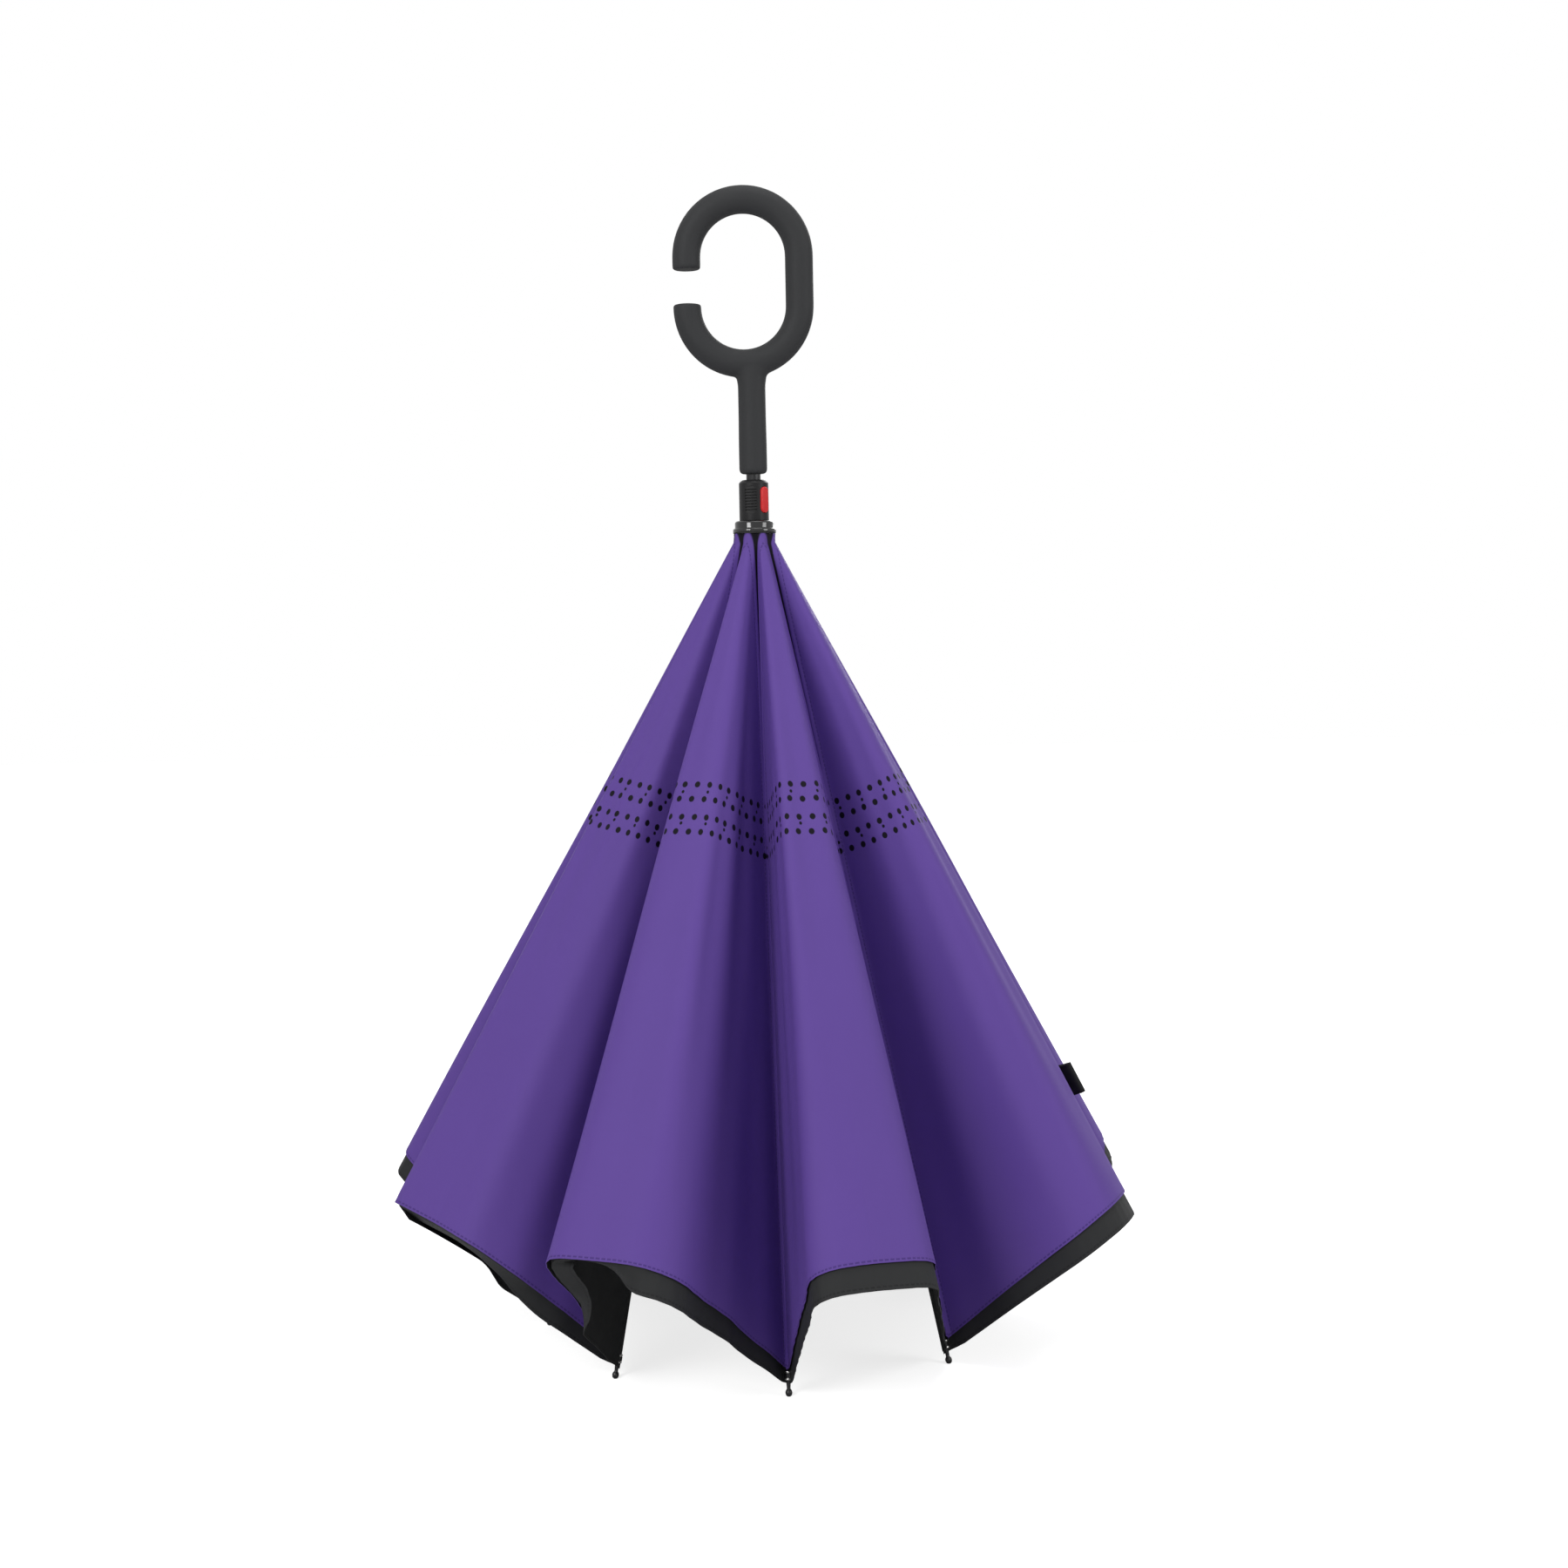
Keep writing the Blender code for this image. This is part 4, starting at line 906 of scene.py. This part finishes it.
def rounded_bar(half_width, half_height, depth):
    """A bar with half-round ends, standing along Z and reaching from the origin towards -Y."""
    bpy.ops.object.select_all(action="DESELECT")
    bpy.ops.mesh.primitive_circle_add(vertices=32, radius=half_width, fill_type="NGON",
                                      rotation=(math.pi / 2, 0, 0))
    obj = bpy.context.active_object
    apply_place(obj)
    stretch = half_height - half_width
    edit_where(obj, lambda point: point.z > 1e-6)
    bpy.ops.transform.translate(value=(0, 0, stretch))
    bpy.ops.mesh.select_all(action="INVERT")
    bpy.ops.transform.translate(value=(0, 0, -stretch))
    bpy.ops.mesh.select_all(action="SELECT")
    bpy.ops.mesh.extrude_region_move(TRANSFORM_OT_translate={"value": (0, -depth, 0)})
    close_up()
    bpy.ops.object.mode_set(mode="OBJECT")
    return obj


def stand_at(obj, azimuth, height=0.0, outwards=0.0):
    """Turn a shape made facing -Y to an azimuth, and lift it to a height."""
    obj.matrix_world = Matrix.Rotation(azimuth, 4, "Z") @ Matrix.Translation((0, -outwards, height))
    apply_place(obj)
    return obj


def own_copy(obj, matrix):
    """A copy with its own mesh, at another place."""
    twin = obj.copy()
    twin.data = obj.data.copy()
    bpy.context.collection.objects.link(twin)
    twin.matrix_world = matrix
    apply_place(twin)
    return twin


# Handle

def c_tube():
    """The C: a circle drawn up, spun over the top, drawn down, spun under and drawn up to its lower end."""
    half_width = HANDLE_WIDTH / 2 - GRIP_RADIUS
    centre_z = TOTAL_HEIGHT - HANDLE_HEIGHT / 2
    straight = HANDLE_HEIGHT / 2 - GRIP_RADIUS - half_width
    gap_centre = centre_z - HANDLE_GAP_DROP
    upper_end = gap_centre + HANDLE_GAP / 2
    lower_end = gap_centre - HANDLE_GAP / 2
    left = -half_width - HANDLE_SHIFT
    bpy.ops.object.select_all(action="DESELECT")
    bpy.ops.mesh.primitive_circle_add(vertices=48, radius=GRIP_RADIUS + SMOOTHING_LOSS,
                                      location=(left, 0, upper_end), fill_type="NOTHING")
    obj = bpy.context.active_object
    apply_place(obj)
    bpy.ops.object.mode_set(mode="EDIT")
    bpy.ops.mesh.select_mode(type="EDGE")
    bpy.ops.mesh.select_all(action="SELECT")
    rise = centre_z + straight - upper_end
    bpy.ops.mesh.extrude_edges_move(TRANSFORM_OT_translate={"value": (0, 0, rise)})
    top_centre = (-HANDLE_SHIFT, 0, centre_z + straight)
    bpy.ops.mesh.spin(steps=32, angle=math.pi, center=top_centre, axis=(0, -1, 0))
    bpy.ops.mesh.extrude_edges_move(TRANSFORM_OT_translate={"value": (0, 0, -2 * straight)})
    low_centre = (-HANDLE_SHIFT, 0, centre_z - straight)
    bpy.ops.mesh.spin(steps=32, angle=math.pi, center=low_centre, axis=(0, -1, 0))
    rise = lower_end - (centre_z - straight)
    bpy.ops.mesh.extrude_edges_move(TRANSFORM_OT_translate={"value": (0, 0, rise)})
    bpy.ops.mesh.select_all(action="DESELECT")
    bpy.ops.mesh.select_non_manifold()
    bpy.ops.mesh.fill_holes(sides=0)
    close_up()
    bpy.ops.object.mode_set(mode="OBJECT")

    def at_free_end(point):
        return point.x < left / 2 and min(abs(point.z - upper_end), abs(point.z - lower_end)) < 1e-5

    edit_where(obj, at_free_end, "EDGE")
    bpy.ops.mesh.bevel(offset=END_ROUNDING, segments=3, affect="EDGES")
    bpy.ops.object.mode_set(mode="OBJECT")
    return obj


def handle_stem():
    """The stem below the C, flared in the C's own plane where the two meet."""
    junction = TOTAL_HEIGHT - HANDLE_HEIGHT
    obj = turned_piece([
        (0.0078, STEM_Z), (0.0088, STEM_Z + 0.0006), (0.0098, STEM_Z + 0.0022), (0.0098, STEM_Z + 0.020),
        (0.0096, STEM_Z + 0.040), (0.0096, junction - 0.006), (0.0096, junction + 0.001),
        (0.0096, junction + 0.007), (0.0090, junction + 0.011)], 64)
    for height, share in ((junction + 0.001, 1.10), (junction + 0.007, 1.75), (junction + 0.011, 1.6)):
        edit_where(obj, lambda point: abs(point.z - height) < 1e-5)
        bpy.ops.transform.resize(value=(share, 1, 1), center_override=(0, 0, height))
        bpy.ops.object.mode_set(mode="OBJECT")
    return obj


def build_handle():
    """The C and its stem, joined and smoothed into one moulding."""
    handle = c_tube()
    cut_or_join(handle, handle_stem(), "UNION")
    apply_modifier(handle, "REMESH", mode="VOXEL", voxel_size=HANDLE_VOXEL)
    apply_modifier(handle, "SMOOTH", factor=0.5, iterations=9)
    finish_piece(handle, "c_handle", soft_touch, "root", "handle_grip", angle=180)


# Runner

def build_sleeve():
    """The sleeve, with its chamfered top, its ribbed thumb panel and the button's pocket."""
    top = SLEEVE_Z + SLEEVE_HEIGHT
    middle = SLEEVE_Z + SLEEVE_HEIGHT / 2
    sleeve = turned_piece([
        (RUNNER_BORE, SLEEVE_Z), (SLEEVE_RADIUS, SLEEVE_Z), (SLEEVE_RADIUS, SLEEVE_Z + 0.006),
        (SLEEVE_RADIUS, top - 0.006), (SLEEVE_RADIUS, top - 0.0022), (SLEEVE_RADIUS - 0.0011, top - 0.0009),
        (SLEEVE_RADIUS - 0.0026, top), (RUNNER_BORE, top)], 96, bored=True)
    recess = stand_at(rounded_bar(*THUMB_RECESS), THUMB_PANEL, middle, THUMB_RECESS_PLACE)
    cut_or_join(sleeve, recess, "DIFFERENCE")
    bpy.ops.object.select_all(action="DESELECT")
    bpy.ops.mesh.primitive_cube_add(size=1, location=(0, 0, 0))
    groove = bpy.context.active_object
    groove.scale = GROOVE_SIZE
    apply_place(groove)
    apply_modifier(groove, "ARRAY", count=GROOVE_COUNT, use_relative_offset=False, use_constant_offset=True,
                   constant_offset_displace=(0, 0, GROOVE_PITCH))
    lowest = middle - GROOVE_PITCH * (GROOVE_COUNT - 1) / 2
    cut_or_join(sleeve, stand_at(groove, THUMB_PANEL, lowest, GROOVE_PLACE), "DIFFERENCE")
    pocket = stand_at(rounded_bar(*BUTTON_POCKET), BUTTON_AZIMUTH, middle, BUTTON_POCKET_PLACE)
    cut_or_join(sleeve, pocket, "DIFFERENCE")
    finish_piece(sleeve, "sliding_sleeve", black_plastic, "runner", "runner_sleeve")


def build_collar():
    """The gloss collar: a ring on a wider, bevelled flange."""
    z = COLLAR_Z
    top = COLLAR_Z + COLLAR_HEIGHT
    collar = turned_piece([
        (RUNNER_BORE, z), (0.0143, z), (0.0149, z + 0.0003), (0.0151, z + 0.0009), (0.0151, z + 0.0027),
        (0.0149, z + 0.0033), (0.0145, z + 0.0036), (0.0139, z + 0.0038), (0.0137, z + 0.0042),
        (0.0137, z + 0.0072), (0.0135, z + 0.0080), (0.0128, z + 0.0087), (0.0118, top),
        (RUNNER_BORE, top)], 96, bored=True)
    finish_piece(collar, "gloss_collar", gloss_plastic, "runner", "runner_collar", angle=40)


def build_release_button():
    """The red button: a rounded bar with an eased face."""
    button = rounded_bar(*BUTTON)
    apply_modifier(button, "BEVEL", width=BUTTON_EASE, segments=4, limit_method="ANGLE",
                   angle_limit=math.radians(60), use_clamp_overlap=True)
    stand_at(button, BUTTON_AZIMUTH, SLEEVE_Z + SLEEVE_HEIGHT / 2, BUTTON_PLACE)
    finish_piece(button, "red_button", red_plastic, "button", "release_button")


# Rib ends

# Where on a rib its eyelet and its ball tip start
EYELET_START = RIB_REACH - HEM_SETBACK - 0.0006
BALL_TIP_START = RIB_REACH - 0.0105


def rib_place(index, distance):
    """The frame of a point on a rib, with Z along the rib."""
    along, normal = rib_vectors(index, CLOSED_ANGLE)
    across = normal.cross(along)
    turned = Matrix((normal, -across, along)).transposed().to_4x4()
    return Matrix.Translation(rib_pivot(index) + along * distance) @ turned


def build_rib_ends():
    """On each rib a nickel eyelet that holds the cloth, and the dark ball tip past it."""
    ferrule = turned_piece([
        (0.0016, 0.0), (0.0024, 0.0001), (0.0027, 0.0004), (0.0028, 0.0009), (0.0026, 0.0014),
        (0.0023, 0.0018), (0.0022, 0.0040), (0.0024, 0.0046), (0.0027, 0.0050), (0.0028, 0.0054),
        (0.0027, 0.0059), (0.0022, 0.0062), (0.0013, 0.0063)], 28)
    ball = turned_piece([
        (0.0008, 0.0), (0.0012, 0.0004), (0.0012, 0.0052), (0.0014, 0.0060), (0.0019, 0.0066),
        (0.0022, 0.0074), (0.0023, 0.0082), (0.0021, 0.0091), (0.0016, 0.0098), (0.0009, 0.0101)], 28)
    for index in range(RIB_COUNT):
        number = index + 1
        ring = own_copy(ferrule, rib_place(index, EYELET_START))
        finish_piece(ring, f"eyelet_{number}", plated_steel, f"rib_{number}", angle=50)
        tip = own_copy(ball, rib_place(index, BALL_TIP_START))
        for vert in tip.data.vertices:
            vert.co.z = max(vert.co.z, 0.0)
        finish_piece(tip, f"ball_tip_{number}", black_rod, f"rib_{number}", angle=60)
    for model in (ferrule, ball):
        bpy.data.objects.remove(model)


# Closing strap

def build_closing_strap():
    """The closing strap, sewn down on the far panel and folded over into a loop past the ridge."""
    shape = gore(STRAP_GORE)
    near_arc, middle_arc, far_arc = shape["arcs"]
    second_cut = shape["cuts"][1]
    ridge = near_arc + middle_arc
    sewn = ridge + second_cut + (far_arc - second_cut) * STRAP_SEWN_SHARE
    leave = ridge + second_cut * STRAP_LEAVE_SHARE
    reaches = [STRAP_REACH + STRAP_WIDTH * j / (STRAP_POINTS - 1) for j in range(STRAP_POINTS)]

    def column(arc, lift):
        return [cloth_layer(shape, reach, arc, lift) for reach in reaches]

    points = []
    for i in range(SEWN_STEPS + 1):
        arc = sewn + (leave - sewn) * i / SEWN_STEPS
        points.append(column(arc, STRAP_LIFT + STRAP_LIFT_GAIN * smooth(i / SEWN_STEPS)))
    base = points[-1]
    ahead = [(b - a).normalized() for a, b in zip(points[-2], base)]
    out = [(high - low).normalized() for low, high in zip(column(leave, 0.0), column(leave, 0.01))]
    strands = list(zip(base, ahead, out))
    for i in range(1, LOOP_STEPS + 1):
        share = i / LOOP_STEPS
        points.append([p + a * STRAP_LOOP * share + o * STRAP_RISE * smooth(share) for p, a, o in strands])
    for i in range(1, BEND_STEPS + 1):
        angle = math.pi * i / BEND_STEPS
        onwards = STRAP_LOOP + STRAP_BEND * math.sin(angle)
        outwards = STRAP_RISE + STRAP_BEND * (1 - math.cos(angle))
        points.append([p + a * onwards + o * outwards for p, a, o in strands])
    for i in range(1, LOOP_STEPS + 1):
        share = i / LOOP_STEPS
        onwards = STRAP_LOOP * (1 - STRAP_RETURN * share)
        outwards = STRAP_RISE + 2 * STRAP_BEND - STRAP_RETURN_DROP * share
        points.append([p + a * onwards + o * outwards for p, a, o in strands])
    strap, length = strip("strap", points, STRAP_THICKNESS)
    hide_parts("closing_strap")
    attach(strap, f"gore_{STRAP_GORE + 1}_far")


# Pieces that keep the shape of their solids

def finish_solids():
    """The finishes of the shaft, the hubs, the wire, the spring, the ribs and the stretchers."""
    finishes = {"shaft": painted_steel, "crown_hub": black_plastic, "end_cap": black_plastic,
                "rib_ring": black_plastic, "rib_wire": plated_steel, "button_spring": plated_steel}
    for number in range(1, RIB_COUNT + 1):
        finishes[f"stretcher_{number}"] = painted_steel
        for place, item in zip(nodes[f"rib_{number}"].material_slots, (painted_steel, black_rod)):
            place.material = item
    for name, item in finishes.items():
        for place in nodes[name].material_slots:
            place.material = item


for index in range(RIB_COUNT):
    build_gore(index)
build_closing_strap()
build_handle()
build_sleeve()
build_collar()
build_release_button()
build_rib_ends()
finish_solids()


# Camera, light and floor

CAMERA_PLACE = (0, -1.5, 0.511)
CAMERA_TILT = math.radians(4.8)
CAMERA_ROLL = math.radians(-1.15)
CAMERA_LENS = 48.9
CAMERA_SHIFT = 28 / 1800
# The floor's own glow: from and to these distances, from and to these strengths
FLOOR_GLOW = (0.3, 1.6, 0.78, 0.95)
# How bright the surroundings are, in reflections and as light
WORLD_SHINE = 0.8
WORLD_LIGHT = 0.15


def look_at_umbrella():
    """The photograph's camera: a little above the middle, tilted down and turned slightly."""
    ahead = Vector((0, math.cos(CAMERA_TILT), -math.sin(CAMERA_TILT)))
    up = Vector((0, math.sin(CAMERA_TILT), math.cos(CAMERA_TILT)))
    side = Vector((1, 0, 0))
    right = side * math.cos(CAMERA_ROLL) + up * math.sin(CAMERA_ROLL)
    top = up * math.cos(CAMERA_ROLL) - side * math.sin(CAMERA_ROLL)
    data = bpy.data.cameras.new("photo camera")
    data.sensor_width = 36.0
    data.sensor_fit = "HORIZONTAL"
    data.lens = CAMERA_LENS
    data.shift_x = CAMERA_SHIFT
    obj = bpy.data.objects.new("photo camera", data)
    bpy.context.collection.objects.link(obj)
    turned = Matrix((right, top, -ahead)).transposed().to_4x4()
    obj.matrix_world = Matrix.Translation(CAMERA_PLACE) @ turned
    bpy.context.scene.camera = obj


def soft_lamp(name, place, target, size, power):
    """A square lamp that faces its target."""
    data = bpy.data.lights.new(name, "AREA")
    data.shape = "SQUARE"
    data.size = size
    data.energy = power
    obj = bpy.data.objects.new(name, data)
    bpy.context.collection.objects.link(obj)
    way = Vector(target) - Vector(place)
    obj.matrix_world = Matrix.Translation(place) @ way.to_track_quat("-Z", "Y").to_matrix().to_4x4()


def build_studio():
    """The pale floor, the white surroundings and four soft lamps."""
    bpy.ops.object.select_all(action="DESELECT")
    bpy.ops.mesh.primitive_plane_add(size=12.0, location=(0, 0, 0))
    floor = bpy.context.active_object
    floor.name = "studio_floor"
    item, tree, shader = material("pale floor", 0.9, Specular_IOR_Level=0.1)
    shader.inputs["Base Color"].default_value = (0.86, 0.86, 0.86, 1.0)
    path = tree.nodes.new("ShaderNodeLightPath")
    glow = tree.nodes.new("ShaderNodeEmission")
    glow.inputs["Color"].default_value = (1.0, 1.0, 1.0, 1.0)
    east, north, _ = split(tree, object_place(tree))
    away = length_of(tree, east, north)
    tree.links.new(remap(tree, away, *FLOOR_GLOW), glow.inputs["Strength"])
    both = tree.nodes.new("ShaderNodeAddShader")
    tree.links.new(shader.outputs[0], both.inputs[0])
    tree.links.new(glow.outputs[0], both.inputs[1])
    choose = tree.nodes.new("ShaderNodeMixShader")
    tree.links.new(path.outputs["Is Camera Ray"], choose.inputs[0])
    tree.links.new(shader.outputs[0], choose.inputs[1])
    tree.links.new(both.outputs[0], choose.inputs[2])
    tree.links.new(choose.outputs[0], tree.nodes["Material Output"].inputs["Surface"])
    floor.data.materials.append(item)

    world = bpy.data.worlds.new("studio")
    bpy.context.scene.world = world
    world.use_nodes = True
    tree = world.node_tree
    back = tree.nodes["Background"]
    back.inputs["Color"].default_value = (1.0, 1.0, 1.0, 1.0)
    path = tree.nodes.new("ShaderNodeLightPath")
    seen = calc(tree, "MAXIMUM", path.outputs["Is Camera Ray"], path.outputs["Is Transmission Ray"])
    shine = calc(tree, "MAXIMUM", seen, calc(tree, "MULTIPLY", path.outputs["Is Glossy Ray"], WORLD_SHINE))
    tree.links.new(calc(tree, "MAXIMUM", shine, WORLD_LIGHT), back.inputs["Strength"])

    soft_lamp("key lamp", (-1.3, -1.9, 1.5), (0, 0, 0.35), 0.9, 29)
    soft_lamp("fill lamp", (1.8, -0.9, 1.1), (0, 0, 0.35), 0.8, 12)
    soft_lamp("back lamp", (0.7, 2.0, 1.3), (0, 0, 0.35), 1.1, 15)
    soft_lamp("top lamp", (0.2, -0.2, 2.1), (0, 0, 0.3), 0.9, 8)


look_at_umbrella()
build_studio()
bpy.context.scene.view_settings.view_transform = "Standard"
